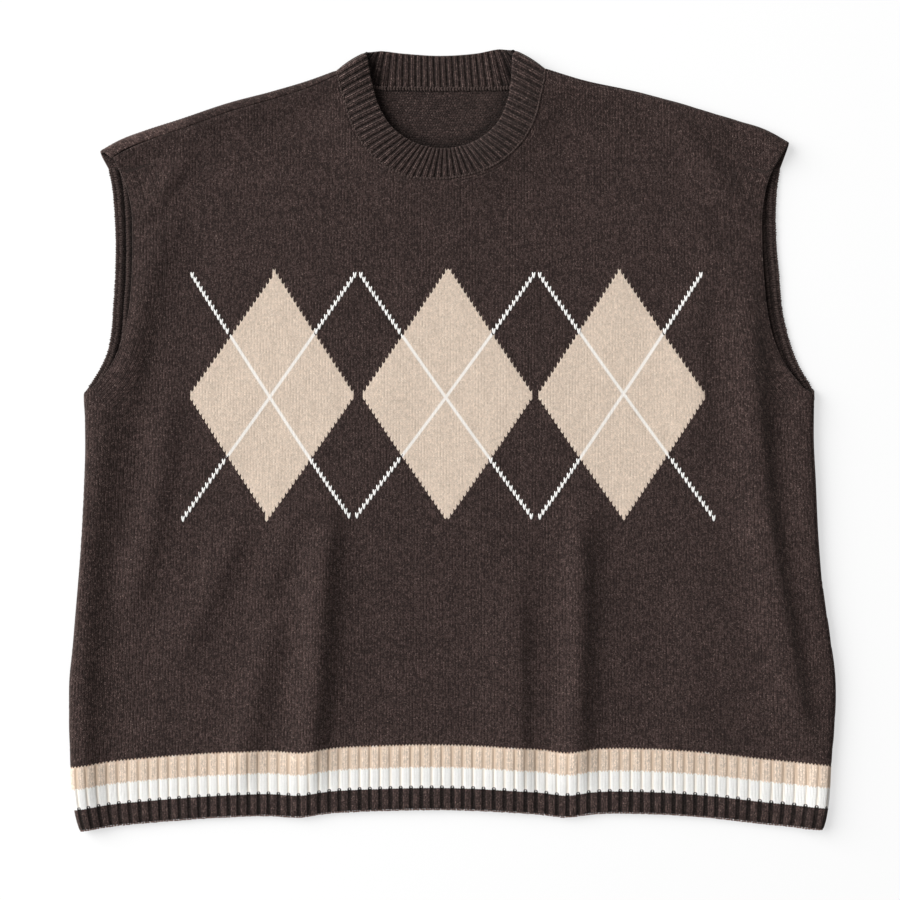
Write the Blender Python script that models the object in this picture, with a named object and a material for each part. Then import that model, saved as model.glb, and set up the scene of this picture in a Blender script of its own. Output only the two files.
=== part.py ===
"""Knitted sleeveless pullover, laid flat on its back.

Six pieces of cloth, each one closed wall: back and front panels, a ribbed hem on each, and
a ribbed neckband in two halves. +X is to the viewer's right, +Y towards the neck, +Z up,
and the floor is z = 0 under the middle of the garment. Sizes are in millimetres here and
become metres when a mesh is made.

Cloth coordinates: a piece is drawn as it lies opened out. Where it rolls over a folded edge
(both sides and both shoulders), a cloth distance from the fold is a length round the roll.
"""
import math

import bmesh
import bpy
import numpy as np
from mathutils import Vector
from mathutils.geometry import delaunay_2d_cdt

MM = 0.001
MIDDLE = np.array([-0.1, 0.59, 0.0])  # middle of the drawing below, put at the origin

# ---- driving sizes, mm ----
WALL = 2.2              # stocking stitch, one layer
SEAM_GAP = 0.3          # left between two pieces at a seam
FOLD_HEIGHT = 9.6       # height of a folded edge
REST_HEIGHT = 5.4       # top of the front where it lies on the back
ROLL = FOLD_HEIGHT / 2  # radius of the roll at a folded edge
EASE = 14.0, 70.0       # cloth taken up by a roll is given back between these distances
FOLD_FADE = 24.0        # the front sinks to its rest height over this distance
ARMHOLE_RISE = 2.2      # how far the front stands up along its armholes
ARMHOLE_FADE = 18.0
NECK_RISE = 3.4         # and round the neck
NECK_FADE = 20.0
RIB_HEIGHT = 51.0       # hem rib, lower edge to panel
HEM_RIBS = 73           # across the front
RIB_RELIEF = 1.3        # how far a rib stands over its groove
BAND_RIBS_FRONT = 48    # ribs of the neckband's front half, and of its back half
BAND_RIBS_BACK = 24
BAND_RELIEF = 1.05
BAND_RISE = 1.1         # how far the band climbs to its free edge, and how round it is
BAND_CROWN = 1.0
NECK_CENTRE = (-9.5, 298.6)
NECK_RADII = (84.0, 88.0)

# Folded sides: height above the middle, x of the left and right edge.
SIDES = [
    # y       left     right
    (-318.0, -301.6, 303.4),
    (-299.0, -305.4, 303.4),
    (-259.0, -309.1, 306.6),
    (-227.0, -310.0, 309.2),
    (-194.0, -309.8, 309.8),
    (-162.0, -306.6, 305.8),
    (-113.5, -302.6, 298.8),
    (-81.0, -300.2, 296.0),
    (-33.0, -297.8, 293.7),
    (0.0, -296.9, 292.1),
    (38.0, -298.2, 292.9),
    (120.0, -300.0, 296.0),
]
UNDERARM = 38.0

# Armholes: the front's edge lies inside the back's.
ARMHOLES = [
    # y      left back  left front  right front  right back
    (42.0, -295.2, -290.6, 283.0, 291.2),
    (47.0, -291.5, -285.6, 278.9, 288.0),
    (55.0, -286.6, -279.1, 272.6, 283.1),
    (67.0, -280.7, -272.0, 265.8, 277.3),
    (83.0, -276.7, -266.0, 259.4, 272.0),
    (105.0, -274.8, -261.3, 254.7, 267.1),
    (130.0, -273.2, -259.2, 252.1, 264.8),
    (160.0, -272.7, -258.4, 250.5, 262.3),
    (185.0, -273.8, -259.3, 250.8, 261.9),
    (205.0, -275.8, -264.0, 254.2, 263.2),
    (219.0, -278.6, -270.0, 259.4, 265.4),
]

# Shoulders: x, y of the folded edge, and how far the back rolls over it to the seam.
LEFT_SHOULDER = [
    # x      y      rolled over
    (-284.0, 232.3, 13.5),
    (-266.0, 242.8, 12.8),
    (-247.7, 250.1, 12.0),
    (-220.0, 259.2, 11.6),
    (-180.6, 272.4, 10.6),
    (-145.0, 281.8, 9.8),
    (-115.0, 290.8, 9.0),
    (-93.7, 298.6, 7.4),
]
RIGHT_SHOULDER = [
    (74.7, 300.2, 4.4),
    (105.4, 290.8, 4.2),
    (145.0, 282.2, 3.0),
    (175.7, 274.3, 1.6),
    (203.0, 266.2, 1.0),
    (230.0, 258.0, 1.0),
    (254.0, 249.8, 1.0),
    (270.3, 239.8, 1.4),
]
SIDE_SEAM = (0.0, 4.6)  # how far the back rolls over the left and the right side

# Where the shoulder's folded edge starts at the armhole, and the back's edge round it.
RIGHT_TIP = {"front": 269.6, "back": 270.0}
LEFT_TIP = {"front": -277.3, "back": -277.3}
LEFT_TIP_WRAP = [(-283.6, 240.0), (-284.0, 232.5), (-281.6, 226.5)]
LEFT_NECK_WRAP = (0.0, 3.0, 5.6)  # the back's rolls end beside the neckband at these reaches
RIGHT_NECK_WRAP = (2.6, 0.0)
FRONT_NECK_SPAN = (0.975, 0.042)  # part of a neckline, in fractions, that a panel follows
BACK_NECK_SPAN = (0.985, 0.015)
EDGE_STEP = 13.0        # spacing of points along a panel's edge
NECK_STEP = 6.0         # and along the neckline
ARMHOLE_CROWDING = 0.35  # points lie closer together near the underarm
HEM_ROWS = (0.0, 0.04, 0.97, 1.0)
HEM_ROW_RELIEF = (0.35, 1.0, 1.0, 0.35)
HEM_SPREAD = 0.06       # the ribs lie wider towards the right
HEM_BACK_COLUMNS = 49   # the underside rests flat, so its ribs are left plain
HEM_MIDDLE = -285.0     # height of the hem rib's middle
PANEL_START = -263.0    # and of the panel's lower corners
BACK_SPACING = 34.0     # of the points inside the back, which lies flat
FRONT_SPACING = 19.0    # and inside the front
POINTS_FROM = (-310.0, -262.0)    # lower left and upper right of those points
POINTS_TO = (320.0, 310.0)
FOLD_END = -258.0       # the lines that carry a fold stop here, over the hem rib
TALL_FOLD = 4.0         # a fold over this height is carried by five lines, others by three
TALL_FOLD_LINES = (-2.1, -1.05, 0.0, 1.05, 2.1)
LOW_FOLD_LINES = (-1.4, 0.0, 1.4)
ROLL_REACHES = (0.33, 0.67, 1.0, 1.8)   # lines along a roll, in quarter turns
WRAP_REACHES = (0.0, -0.33, -0.67, -1.0)
ROLL_CLEARANCE = 1.2    # a roll line keeps this from the panel's edge
FOLD_CLEARANCE = 3.0    # a fold line this
FOLD_TO_ROLL = 5.0      # and this from the roll lines
POINT_CLEARANCE = 0.6   # an inside point keeps this part of the spacing from any line

# Neckband: seam to the front, its free edge, the back's neckline, and the ring's top.
NECK_SEAM = [
    # x      y
    (-93.7, 298.6), (-90.8, 286.0), (-86.9, 273.5), (-82.6, 258.6), (-76.2, 245.2),
    (-65.9, 230.9), (-52.1, 219.6), (-36.0, 212.5), (-18.2, 210.4), (-2.8, 211.0),
    (15.8, 214.6), (37.0, 223.6), (51.0, 234.9), (60.4, 246.8), (66.9, 261.4),
    (71.0, 277.5), (73.8, 290.0), (74.7, 300.2),
]
NECK_EDGE = [
    (-69.0, 313.8), (-67.0, 299.0), (-64.2, 285.6), (-58.6, 267.9), (-49.7, 253.4),
    (-37.6, 243.4), (-23.0, 237.1), (-9.3, 235.0), (5.3, 236.4), (21.4, 242.8),
    (35.1, 254.5), (43.2, 270.3), (46.6, 285.0), (47.6, 300.2), (48.5, 315.6),
]
BACK_NECK = [
    (-93.7, 298.6), (-80.0, 289.4), (-64.2, 285.2), (-37.0, 284.0), (-9.3, 283.7),
    (19.0, 284.0), (46.5, 285.0), (62.0, 290.0), (74.7, 300.2),
]
RING_TOP = [
    (-69.0, 313.8), (-62.0, 314.6), (-40.0, 312.6), (-9.3, 310.8), (20.0, 312.8),
    (40.0, 316.2), (48.5, 315.6),
]
BAND_LEAN = 0.062       # how far a rib leans along the band between its two edges
BAND_PARTING = 0.965    # keeps the ring's two halves apart at its folds
BAND_ROWS_FRONT = [
    # from seam to free edge, share of the rib's relief
    (0.0, 0.3), (0.1, 1.0), (0.5, 1.0), (0.9, 1.0), (1.0, 0.4),
]
BAND_ROWS_BACK = [(0.0, 0.3), (0.12, 1.0), (0.88, 1.0), (1.0, 0.4)]
GROOVE = 0.24           # a groove's share of a rib's pitch

# Lower edge of the hem.
HEM_EDGE = [
    # x      y
    (-330.0, -315.6), (-301.8, -314.6), (-276.7, -312.3), (-228.3, -307.6),
    (-179.8, -304.4), (-150.0, -303.5), (-121.0, -304.4), (-106.0, -302.2),
    (-58.6, -299.4), (-10.0, -298.6), (38.4, -300.2), (71.0, -302.4), (91.5, -304.6),
    (112.0, -302.2), (159.6, -301.9), (208.1, -305.0), (256.5, -310.6),
    (304.0, -314.8), (330.0, -315.8),
]

# Soft folds of the front: crest x at its top, middle and bottom, height and half-width.
FOLDS = [
    # name            top_y  bottom_y  x_top   x_mid   x_bottom height width fade_top fade_bottom
    ("left_main", -25, -330, -96.5, -109.0, -121.0, 6.6, 7.6, 90, 1),
    ("right_main", -27, -330, 103.5, 101.5, 92.0, 6.6, 8.2, 80, 1),
    ("right_shelf", -112, -275, 51.0, 53.0, 55.0, 2.0, 9.5, 60, 40),
    ("right_side", 180, -245, 235.0, 246.5, 284.0, 4.8, 9.5, 130, 60),
    ("left_side", 60, -160, -224.0, -240.0, -267.0, 3.2, 11.0, 70, 60),
    ("left_diagonal", -60, -185, -171.0, -197.0, -226.0, 2.8, 9.5, 45, 45),
    ("left_low", -140, -245, -139.0, -157.0, -178.0, 2.4, 7.5, 40, 35),
    ("left_short", -45, -125, -128.0, -141.0, -153.0, 2.0, 7.0, 30, 30),
    ("left_armhole", 195, 60, -243.0, -249.5, -262.0, 2.4, 9.5, 45, 40),
    ("left_tip", 240, 168, -209.0, -227.0, -245.0, 1.9, 7.0, 25, 25),
    ("right_shoulder", 272, 176, 160.0, 199.0, 236.0, 2.2, 8.0, 35, 30),
    ("right_low", -150, -250, 190.0, 203.0, 207.0, 1.5, 12.0, 45, 35),
]

COLOURS = {
    # material: red, green, blue, roughness
    "knit_brown": (0.042, 0.030, 0.027, 0.95),
    "rib_brown": (0.038, 0.027, 0.024, 0.95),
    "rib_stripes": (0.58, 0.49, 0.38, 0.95),
}


# ---- small helpers ----
def smooth_step(low, high, value):
    """0 below low, 1 above high, with a soft ramp between."""
    t = np.clip((value - low) / (high - low), 0.0, 1.0)
    return t * t * (3.0 - 2.0 * t)


def through(knots, values):
    """A smooth function through the given values, straight beyond both ends."""
    knots = np.asarray(knots, float)
    values = np.asarray(values, float)
    order = np.argsort(knots)
    knots = knots[order]
    values = values[order]
    slopes = np.gradient(values, knots)

    def evaluate(at):
        at = np.asarray(at, float)
        inside = np.clip(at, knots[0], knots[-1])
        k = np.clip(np.searchsorted(knots, inside) - 1, 0, len(knots) - 2)
        span = knots[k + 1] - knots[k]
        t = (inside - knots[k]) / span
        value = ((1 + 2 * t) * (1 - t) ** 2 * values[k] + t * (1 - t) ** 2 * span * slopes[k]
                 + t * t * (3 - 2 * t) * values[k + 1] + t * t * (t - 1) * span * slopes[k + 1])
        beyond = np.where(at < knots[0], slopes[0], slopes[-1]) * (at - inside)
        return value + beyond

    return evaluate


def path_through(points):
    """A smooth path (fraction of its length -> x, y) through the given points."""
    points = np.asarray(points, float)
    steps = np.hypot(*np.diff(points, axis=0).T)
    length = np.concatenate([[0.0], np.cumsum(steps)])
    fraction = length / length[-1]
    along_x = through(fraction, points[:, 0])
    along_y = through(fraction, points[:, 1])
    return lambda t: np.stack([along_x(t), along_y(t)], axis=-1)


def path_length(points):
    return float(np.hypot(*np.diff(np.asarray(points, float), axis=0).T).sum())


def column(table, index):
    return [row[index] for row in table]


# ---- outlines as functions ----
side_x = {
    -1: through(column(SIDES, 0), column(SIDES, 1)),
    1: through(column(SIDES, 0), column(SIDES, 2)),
}
shoulder_y = {
    -1: through(column(LEFT_SHOULDER, 0), column(LEFT_SHOULDER, 1)),
    1: through(column(RIGHT_SHOULDER, 0), column(RIGHT_SHOULDER, 1)),
}
rolled_over = {
    -1: through(column(LEFT_SHOULDER, 0), column(LEFT_SHOULDER, 2)),
    1: through(column(RIGHT_SHOULDER, 0), column(RIGHT_SHOULDER, 2)),
}
armhole_x = {
    ("back", -1): through(column(ARMHOLES, 0), column(ARMHOLES, 1)),
    ("front", -1): through(column(ARMHOLES, 0), column(ARMHOLES, 2)),
    ("front", 1): through(column(ARMHOLES, 0), column(ARMHOLES, 3)),
    ("back", 1): through(column(ARMHOLES, 0), column(ARMHOLES, 4)),
}
neck_seam = path_through(NECK_SEAM)
neck_edge = path_through(NECK_EDGE)
back_neck = path_through(BACK_NECK)
ring_top = path_through(RING_TOP)
hem_edge = through(column(HEM_EDGE, 0), column(HEM_EDGE, 1))
neck_x = {
    -1: through(column(NECK_SEAM[:4], 1), column(NECK_SEAM[:4], 0)),
    1: through(column(NECK_SEAM[-4:], 1), column(NECK_SEAM[-4:], 0)),
}


def hem_seam(x):
    """y of the line where the hem rib meets its panel."""
    return hem_edge(x) + RIB_HEIGHT


# ---- the roll at a folded edge ----
def ease_off(reach):
    """Cloth length less plan length, for a cloth distance from the fold."""
    reach = np.abs(reach)
    on_roll = reach - ROLL * (1 - np.cos(np.minimum(reach, ROLL * math.pi / 2) / ROLL))
    past = (math.pi / 2 - 1) * ROLL * (1 - smooth_step(EASE[0], EASE[1], reach))
    return np.where(reach < ROLL * math.pi / 2, on_roll, past)


REACHES = np.linspace(0.0, 2 * EASE[1], 561)
INSETS = REACHES - ease_off(REACHES)


def reach_of(inset):
    """Cloth distance from the fold, for a distance in plan."""
    return np.interp(inset, INSETS, REACHES) + np.maximum(inset - INSETS[-1], 0)


def roll_drop(reach):
    """How far a roll's surface lies above the floor, underneath, at a cloth distance."""
    return ROLL * (1 - np.sin(np.minimum(np.abs(reach), ROLL * math.pi / 2) / ROLL))


def over_roll(height, drop):
    """Height of the upper half of a roll that rises to the given height."""
    return ROLL + (height - ROLL) * (1 - drop / ROLL)


def shoulder_frame(x):
    """y of the shoulder's fold at x, and the unit direction from it into the garment."""
    left = x < NECK_CENTRE[0]
    y = np.where(left, shoulder_y[-1](x), shoulder_y[1](x))
    ahead = np.where(left, shoulder_y[-1](x + 1.0), shoulder_y[1](x + 1.0))
    slope = ahead - y
    size = np.sqrt(1 + slope ** 2)
    return y, slope / size, -1 / size


def side_reach(points):
    """Distance from the nearer side fold: positive inside, negative beyond it."""
    x, y = points[..., 0], points[..., 1]
    return np.where(x < 0, x - side_x[-1](y), side_x[1](y) - x)


def shoulder_reach(points):
    fold_y, _, down = shoulder_frame(points[..., 0])
    return (points[..., 1] - fold_y) * down


def opened_out(points):
    """Cloth coordinates of points given in plan, for the layer they lie on."""
    points = np.array(points, float)
    sign = np.where(points[..., 0] < 0, 1.0, -1.0)
    inset = np.maximum(side_reach(points), 0)
    points[..., 0] += sign * (reach_of(inset) - inset)
    inset = np.maximum(shoulder_reach(points), 0)
    _, nx, ny = shoulder_frame(points[..., 0])
    points[..., 0] += nx * (reach_of(inset) - inset)
    points[..., 1] += ny * (reach_of(inset) - inset)
    return points


def fold_height(x, y):
    """Height of the soft folds over the front's resting height."""
    total = np.zeros(np.broadcast(x, y).shape)
    for _, top, bottom, x_top, x_mid, x_bottom, height, width, fade_top, fade_bottom in FOLDS:
        crest = through([bottom, (top + bottom) / 2, top], [x_bottom, x_mid, x_top])
        lean = math.cos(math.atan2(abs(x_top - x_bottom), top - bottom))
        off = (x - crest(y)) * lean / width
        along = smooth_step(0, fade_top, top - y) * smooth_step(0, fade_bottom, y - bottom)
        total += height * along * np.exp(-0.5 * off ** 2)
    return total


def upper_height(plan):
    """Height of the front's outer face over the floor, away from the rolls."""
    x, y = plan[..., 0], plan[..., 1]
    from_armhole = np.where(x < 0, x - armhole_x["front", -1](y), armhole_x["front", 1](y) - x)
    ring = np.hypot((x - NECK_CENTRE[0]) / NECK_RADII[0], (y - NECK_CENTRE[1]) / NECK_RADII[1])
    over_armhole = smooth_step(UNDERARM, UNDERARM + FOLD_FADE, y)
    rises = [
        (FOLD_HEIGHT - REST_HEIGHT, side_reach(plan), FOLD_FADE),
        (FOLD_HEIGHT - REST_HEIGHT, shoulder_reach(plan), FOLD_FADE),
        (ARMHOLE_RISE * over_armhole, from_armhole, ARMHOLE_FADE),
        (NECK_RISE, (ring - 1) * NECK_RADII[1], NECK_FADE),
    ]
    cubed = 0.0
    for rise, away, fade in rises:
        cubed = cubed + (rise * np.exp(-(np.maximum(away, 0) / fade) ** 2)) ** 3
    return REST_HEIGHT + np.cbrt(cubed) + fold_height(x, y)


def lay(cloth, layer):
    """Outer face of the front or the back: cloth coordinates to x, y, z."""
    cloth = np.asarray(cloth, float)
    plan = cloth.copy()
    side = side_reach(cloth)
    sign = np.where(cloth[..., 0] < 0, -1.0, 1.0)
    inset = np.abs(side) - ease_off(side)
    plan[..., 0] += sign * (side - inset)
    shoulder = shoulder_reach(cloth)
    _, nx, ny = shoulder_frame(cloth[..., 0])
    inset = np.abs(shoulder) - ease_off(shoulder)
    plan[..., 0] -= nx * (shoulder - inset)
    plan[..., 1] -= ny * (shoulder - inset)
    drop = np.maximum(roll_drop(side), roll_drop(shoulder))
    on_top = over_roll(upper_height(plan), drop)
    if layer == "front":
        z = on_top
    else:
        wrapped = np.minimum(side, shoulder) < 0
        z = np.where(wrapped, on_top, drop)
    return np.concatenate([plan, z[..., None]], axis=-1)


def outward(surface, cloth, layer):
    """Unit normals of a laid surface, pointing out of the garment."""
    step = 0.05
    across = surface(cloth + (step, 0)) - surface(cloth - (step, 0))
    along = surface(cloth + (0, step)) - surface(cloth - (0, step))
    normal = np.cross(across, along)
    normal /= np.linalg.norm(normal, axis=-1, keepdims=True)
    return normal if layer == "front" else -normal


# ---- meshes ----
def make_material(name):
    red, green, blue, roughness = COLOURS[name]
    material = bpy.data.materials.get(name) or bpy.data.materials.new(name)
    material.use_nodes = True
    shader = material.node_tree.nodes["Principled BSDF"]
    shader.inputs["Base Color"].default_value = (red, green, blue, 1.0)
    shader.inputs["Roughness"].default_value = roughness
    shader.inputs["Metallic"].default_value = 0.0
    return material


def make_object(name, points, faces, material):
    """One closed mesh, in metres, its faces turned outwards."""
    mesh = bpy.data.meshes.new(name)
    mesh.from_pydata([Vector(p - MIDDLE) * MM for p in points], [], faces)
    shape = bmesh.new()
    shape.from_mesh(mesh)
    bmesh.ops.recalc_face_normals(shape, faces=shape.faces)
    if shape.calc_volume(signed=True) < 0:
        bmesh.ops.reverse_faces(shape, faces=shape.faces)
    bmesh.ops.triangulate(shape, faces=shape.faces)
    shape.to_mesh(mesh)
    shape.free()
    mesh.shade_smooth()
    piece = bpy.data.objects.new(name, mesh)
    piece.data.materials.append(make_material(material))
    bpy.context.scene.collection.objects.link(piece)
    return piece


def sheet_wall(name, outline, chains, scattered, layer, material):
    """A panel meshed inside its outline, in cloth coordinates, then laid out and walled.

    Edges follow the outline and each chain of points; scattered points fill the rest.
    """
    points = [outline]
    edges = [(k, (k + 1) % len(outline)) for k in range(len(outline))]
    first = len(outline)
    for chain in chains:
        edges += [(first + k, first + k + 1) for k in range(len(chain) - 1)]
        first += len(chain)
        points.append(chain)
    points.append(scattered)
    flat = [Vector(p) for p in np.concatenate(points)]
    meshed, _, faces, _, _, _ = delaunay_2d_cdt(flat, edges, [], 0, 1e-4)
    cloth = np.array([tuple(p) for p in meshed])
    middles = np.array([cloth[list(face)].mean(axis=0) for face in faces])
    within = inside(middles, outline, 0.0)
    faces = [tuple(face) for face, keep in zip(faces, within) if keep]
    surface = lambda at: lay(at, layer)
    outer = surface(cloth)
    inner = outer - WALL * outward(surface, cloth, layer)
    size = len(cloth)
    walls = list(faces)
    walls += [tuple(size + k for k in reversed(face)) for face in faces]
    walls += [(a, b, size + b, size + a) for a, b in rim_edges(faces)]
    return make_object(name, np.concatenate([outer, inner]), walls, material)


def rim_edges(faces):
    """Edges that belong to one face only, in the order that face walks them."""
    seen = {}
    for face in faces:
        for a, b in zip(face, face[1:] + face[:1]):
            seen[(a, b)] = True
    return [(b, a) for (a, b) in seen if (b, a) not in seen]


def band_wall(name, outer, inner, material):
    """A band: two grids of points of the same size (rows, columns, xyz), joined all round."""
    rows, columns, _ = outer.shape
    size = rows * columns
    at = lambda i, j: i * columns + j
    faces = []
    for i in range(rows - 1):
        for j in range(columns - 1):
            quad = (at(i, j), at(i, j + 1), at(i + 1, j + 1), at(i + 1, j))
            faces.append(quad)
            faces.append(tuple(size + k for k in reversed(quad)))
    ring = [at(0, j) for j in range(columns)] + [at(i, columns - 1) for i in range(1, rows)]
    ring += [at(rows - 1, j) for j in range(columns - 2, -1, -1)]
    ring += [at(i, 0) for i in range(rows - 2, 0, -1)]
    for a, b in zip(ring, ring[1:] + ring[:1]):
        faces.append((b, a, size + a, size + b))
    points = np.concatenate([outer.reshape(-1, 3), inner.reshape(-1, 3)])
    return make_object(name, points, faces, material)


# ---- panels ----
def shoulder_line(reach, start, end, step):
    """Points along a shoulder at a cloth distance from its fold."""
    count = max(2, int(abs(end - start) / step) + 1)
    x = np.linspace(start, end, count)
    fold_y, nx, ny = shoulder_frame(x)
    reach = reach(x) if callable(reach) else np.full(count, float(reach))
    return np.stack([x + nx * reach, fold_y + ny * reach], axis=-1)


def side_line(side, reach, start, end, step):
    """Points up a side at a cloth distance from its fold."""
    count = max(2, int(abs(end - start) / step) + 1)
    y = np.linspace(start, end, count)
    return np.stack([side_x[side](y) - side * reach, y], axis=-1)


def armhole_line(layer, side, step):
    """Points up an armhole's edge, in cloth coordinates."""
    start, end = ARMHOLES[0][0], ARMHOLES[-1][0]
    t = np.linspace(0, 1, int((end - start) / step) + 1)
    y = start + (end - start) * t * (1 - ARMHOLE_CROWDING * (1 - t))
    return opened_out(np.stack([armhole_x[layer, side](y), y], axis=-1))


def neck_end(side, reach):
    """x on a shoulder's fold from which a reach ends beside the neckband."""
    x = NECK_SEAM[0 if side < 0 else -1][0]
    for _ in range(4):
        length = reach(x) if callable(reach) else reach
        inset = abs(length) - ease_off(length)
        fold_y, nx, ny = shoulder_frame(x)
        x += neck_x[side](fold_y + ny * inset) + side * SEAM_GAP / 2 - (x + nx * inset)
    return float(x)


def round_end(side, reaches):
    """Points where the back's roll over a shoulder ends beside the neckband."""
    points = []
    for reach in reaches:
        x = neck_end(side, -reach)
        fold_y, nx, ny = shoulder_frame(x)
        points.append((x - nx * reach, fold_y - ny * reach))
    return np.array(points)


def panel_outline(layer, step):
    """A panel's cut edge in cloth coordinates, round from its lower left corner."""
    facing = 1 if layer == "front" else -1
    gap = SEAM_GAP / 2
    parts = []
    right_reach = facing * SIDE_SEAM[1] + gap
    left_reach = facing * SIDE_SEAM[0] + gap
    right = side_line(1, right_reach, side_start(1), UNDERARM - 1, step)
    left = side_line(-1, left_reach, side_start(-1), UNDERARM - 1, step)
    across = right[0, 0] - left[0, 0]
    x = np.linspace(left[0, 0], right[0, 0], int(across / step) + 1)[1:-1]
    parts.append(left[:1])
    parts.append(np.stack([x, hem_seam(x) + gap], axis=-1))
    parts.append(right)
    parts.append(armhole_line(layer, 1, step))
    over = lambda side: lambda at: facing * rolled_over[side](at) + gap
    tip = RIGHT_TIP[layer]
    parts.append(shoulder_line(over(1), tip, neck_end(1, over(1)), step))
    if layer == "front":
        neck = neck_seam(np.linspace(*FRONT_NECK_SPAN, int(path_length(NECK_SEAM) / NECK_STEP)))
        away = neck - np.array(NECK_CENTRE)
        away = away / np.linalg.norm(away, axis=-1, keepdims=True)
    else:
        neck = back_neck(np.linspace(*BACK_NECK_SPAN, int(path_length(BACK_NECK) / NECK_STEP)))
        away = np.array([[0.0, -1.0]])
        parts.append(round_end(1, RIGHT_NECK_WRAP))
    parts.append(opened_out(neck + away * gap))
    if layer == "back":
        parts.append(round_end(-1, LEFT_NECK_WRAP))
    parts.append(shoulder_line(over(-1), neck_end(-1, over(-1)), LEFT_TIP[layer], step))
    if layer == "back":
        parts.append(np.array(LEFT_TIP_WRAP))
    parts.append(armhole_line(layer, -1, step)[::-1])
    parts.append(left[:0:-1])
    return np.concatenate(parts)


def inside(points, outline, margin):
    """Which points lie inside a closed outline, at least a margin from its edge."""
    ax, ay = outline[:, 0], outline[:, 1]
    bx, by = np.roll(ax, -1), np.roll(ay, -1)
    x, y = points[:, 0, None], points[:, 1, None]
    crosses = ((ay > y) != (by > y))
    at_x = ax + (y - ay) * (bx - ax) / np.where(by == ay, 1e-9, by - ay)
    within = np.sum(crosses & (x < at_x), axis=1) % 2 == 1
    length = np.maximum((bx - ax) ** 2 + (by - ay) ** 2, 1e-9)
    t = np.clip(((x - ax) * (bx - ax) + (y - ay) * (by - ay)) / length, 0, 1)
    away = np.hypot(x - ax - t * (bx - ax), y - ay - t * (by - ay)).min(axis=1)
    return within & (away > margin)


def side_start(side):
    """Height at which a side seam starts, just over the hem rib."""
    fold_x = side_x[side](PANEL_START)
    return float(hem_seam(fold_x - side * SIDE_SEAM[1])) + SEAM_GAP / 2


def roll_lines(layer, step):
    """Chains of points along the folded edges, which carry the roll."""
    reaches = ROLL_REACHES + (WRAP_REACHES if layer == "back" else ())
    lines = []
    for side in (-1, 1):
        tip = LEFT_TIP["back"] if side < 0 else RIGHT_TIP["front"]
        for turns in reaches:
            reach = turns * ROLL * math.pi / 2
            lines.append(side_line(side, reach, side_start(side), UNDERARM - 1, step)[1:])
            lines.append(shoulder_line(reach, tip, neck_end(side, reach), step)[1:-1])
    return lines


def fold_lines(step):
    """Chains of points along the crest, the flanks and the feet of each fold."""
    lines = []
    for _, top, bottom, x_top, x_mid, x_bottom, height, width, _, _ in FOLDS:
        crest = through([bottom, (top + bottom) / 2, top], [x_bottom, x_mid, x_top])
        lean = math.cos(math.atan2(abs(x_top - x_bottom), top - bottom))
        y = np.arange(top - step / 2, max(bottom, FOLD_END), -step)
        offsets = TALL_FOLD_LINES if height > TALL_FOLD else LOW_FOLD_LINES
        for off in offsets:
            lines.append(np.stack([crest(y) + off * width / lean, y], axis=-1))
    return lines


def lattice(step):
    """Evenly scattered points over the garment."""
    x, y = np.meshgrid(*[np.arange(low, high, step) for low, high in zip(POINTS_FROM, POINTS_TO)])
    x[1::2] += step / 2
    return np.stack([x.ravel(), y.ravel()], axis=-1)


def clear_of(points, others, spacing):
    """The points that keep a spacing from all the others."""
    away = np.hypot(points[:, None, 0] - others[None, :, 0], points[:, None, 1] - others[None, :, 1])
    return points[away.min(axis=1) > spacing]


def split_chain(chain, keep):
    """The runs of a chain that are kept."""
    runs = []
    run = []
    for point, kept in zip(chain, keep):
        if kept:
            run.append(point)
        elif run:
            runs.append(np.array(run))
            run = []
    if run:
        runs.append(np.array(run))
    return runs


def make_panel(name, layer, spacing):
    outline = panel_outline(layer, EDGE_STEP)
    chains = []
    for line in roll_lines(layer, EDGE_STEP):
        chains += split_chain(line, inside(line, outline, ROLL_CLEARANCE))
    if layer == "front":
        rolls = np.concatenate(chains)
        for line in fold_lines(spacing * 0.95):
            near = np.hypot(*(line[:, None] - rolls[None]).transpose(2, 0, 1)).min(axis=1)
            keep = inside(line, outline, FOLD_CLEARANCE) & (near > FOLD_TO_ROLL)
            chains += split_chain(line, keep)
    lines = np.concatenate(chains + [outline])
    scattered = clear_of(lattice(spacing), lines, spacing * POINT_CLEARANCE)
    scattered = scattered[inside(scattered, outline, 0.0)]
    return sheet_wall(name, outline, chains, scattered, layer, "knit_brown")


# ---- ribbed bands ----
def rib_columns(ribs):
    """Places across a ribbed band, 0 to 1: each groove's bottom and its two lips."""
    places = []
    relief = []
    for k in range(ribs):
        places += [k, k + GROOVE / 2, k + 1 - GROOVE / 2]
        relief += [0.0, 1.0, 1.0]
    places.append(ribs)
    relief.append(0.0)
    return np.array(places) / ribs, np.array(relief)


def hem_end(side, reach, row):
    """Cloth x, y of a hem row's end, at a cloth distance from the side's fold."""
    x = side * abs(side_x[side](HEM_MIDDLE))
    for _ in range(4):
        y = hem_edge(x) + row * (RIB_HEIGHT - SEAM_GAP / 2)
        x = side_x[side](y) - side * reach
    return float(x)


def make_hem(name, layer, places, relief):
    """A hem rib: places run across the garment, rows from the lower edge up."""
    facing = 1 if layer == "front" else -1
    gap = SEAM_GAP / 2
    cloth = np.zeros((len(HEM_ROWS), len(places), 2))
    for i, row in enumerate(HEM_ROWS):
        left = hem_end(-1, facing * SIDE_SEAM[0] + gap, row)
        right = hem_end(1, facing * SIDE_SEAM[1] + gap, row)
        x = left + (right - left) * places
        cloth[i] = np.stack([x, hem_edge(x) + row * (RIB_HEIGHT - gap)], axis=-1)
    surface = lambda at: lay(at, layer)
    base = surface(cloth)
    normal = outward(surface, cloth, layer)
    raised = np.outer(HEM_ROW_RELIEF, relief) * RIB_RELIEF
    outer = base + normal * raised[..., None]
    inner = base - WALL * normal
    return band_wall(name, outer, inner, "rib_stripes")


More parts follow.
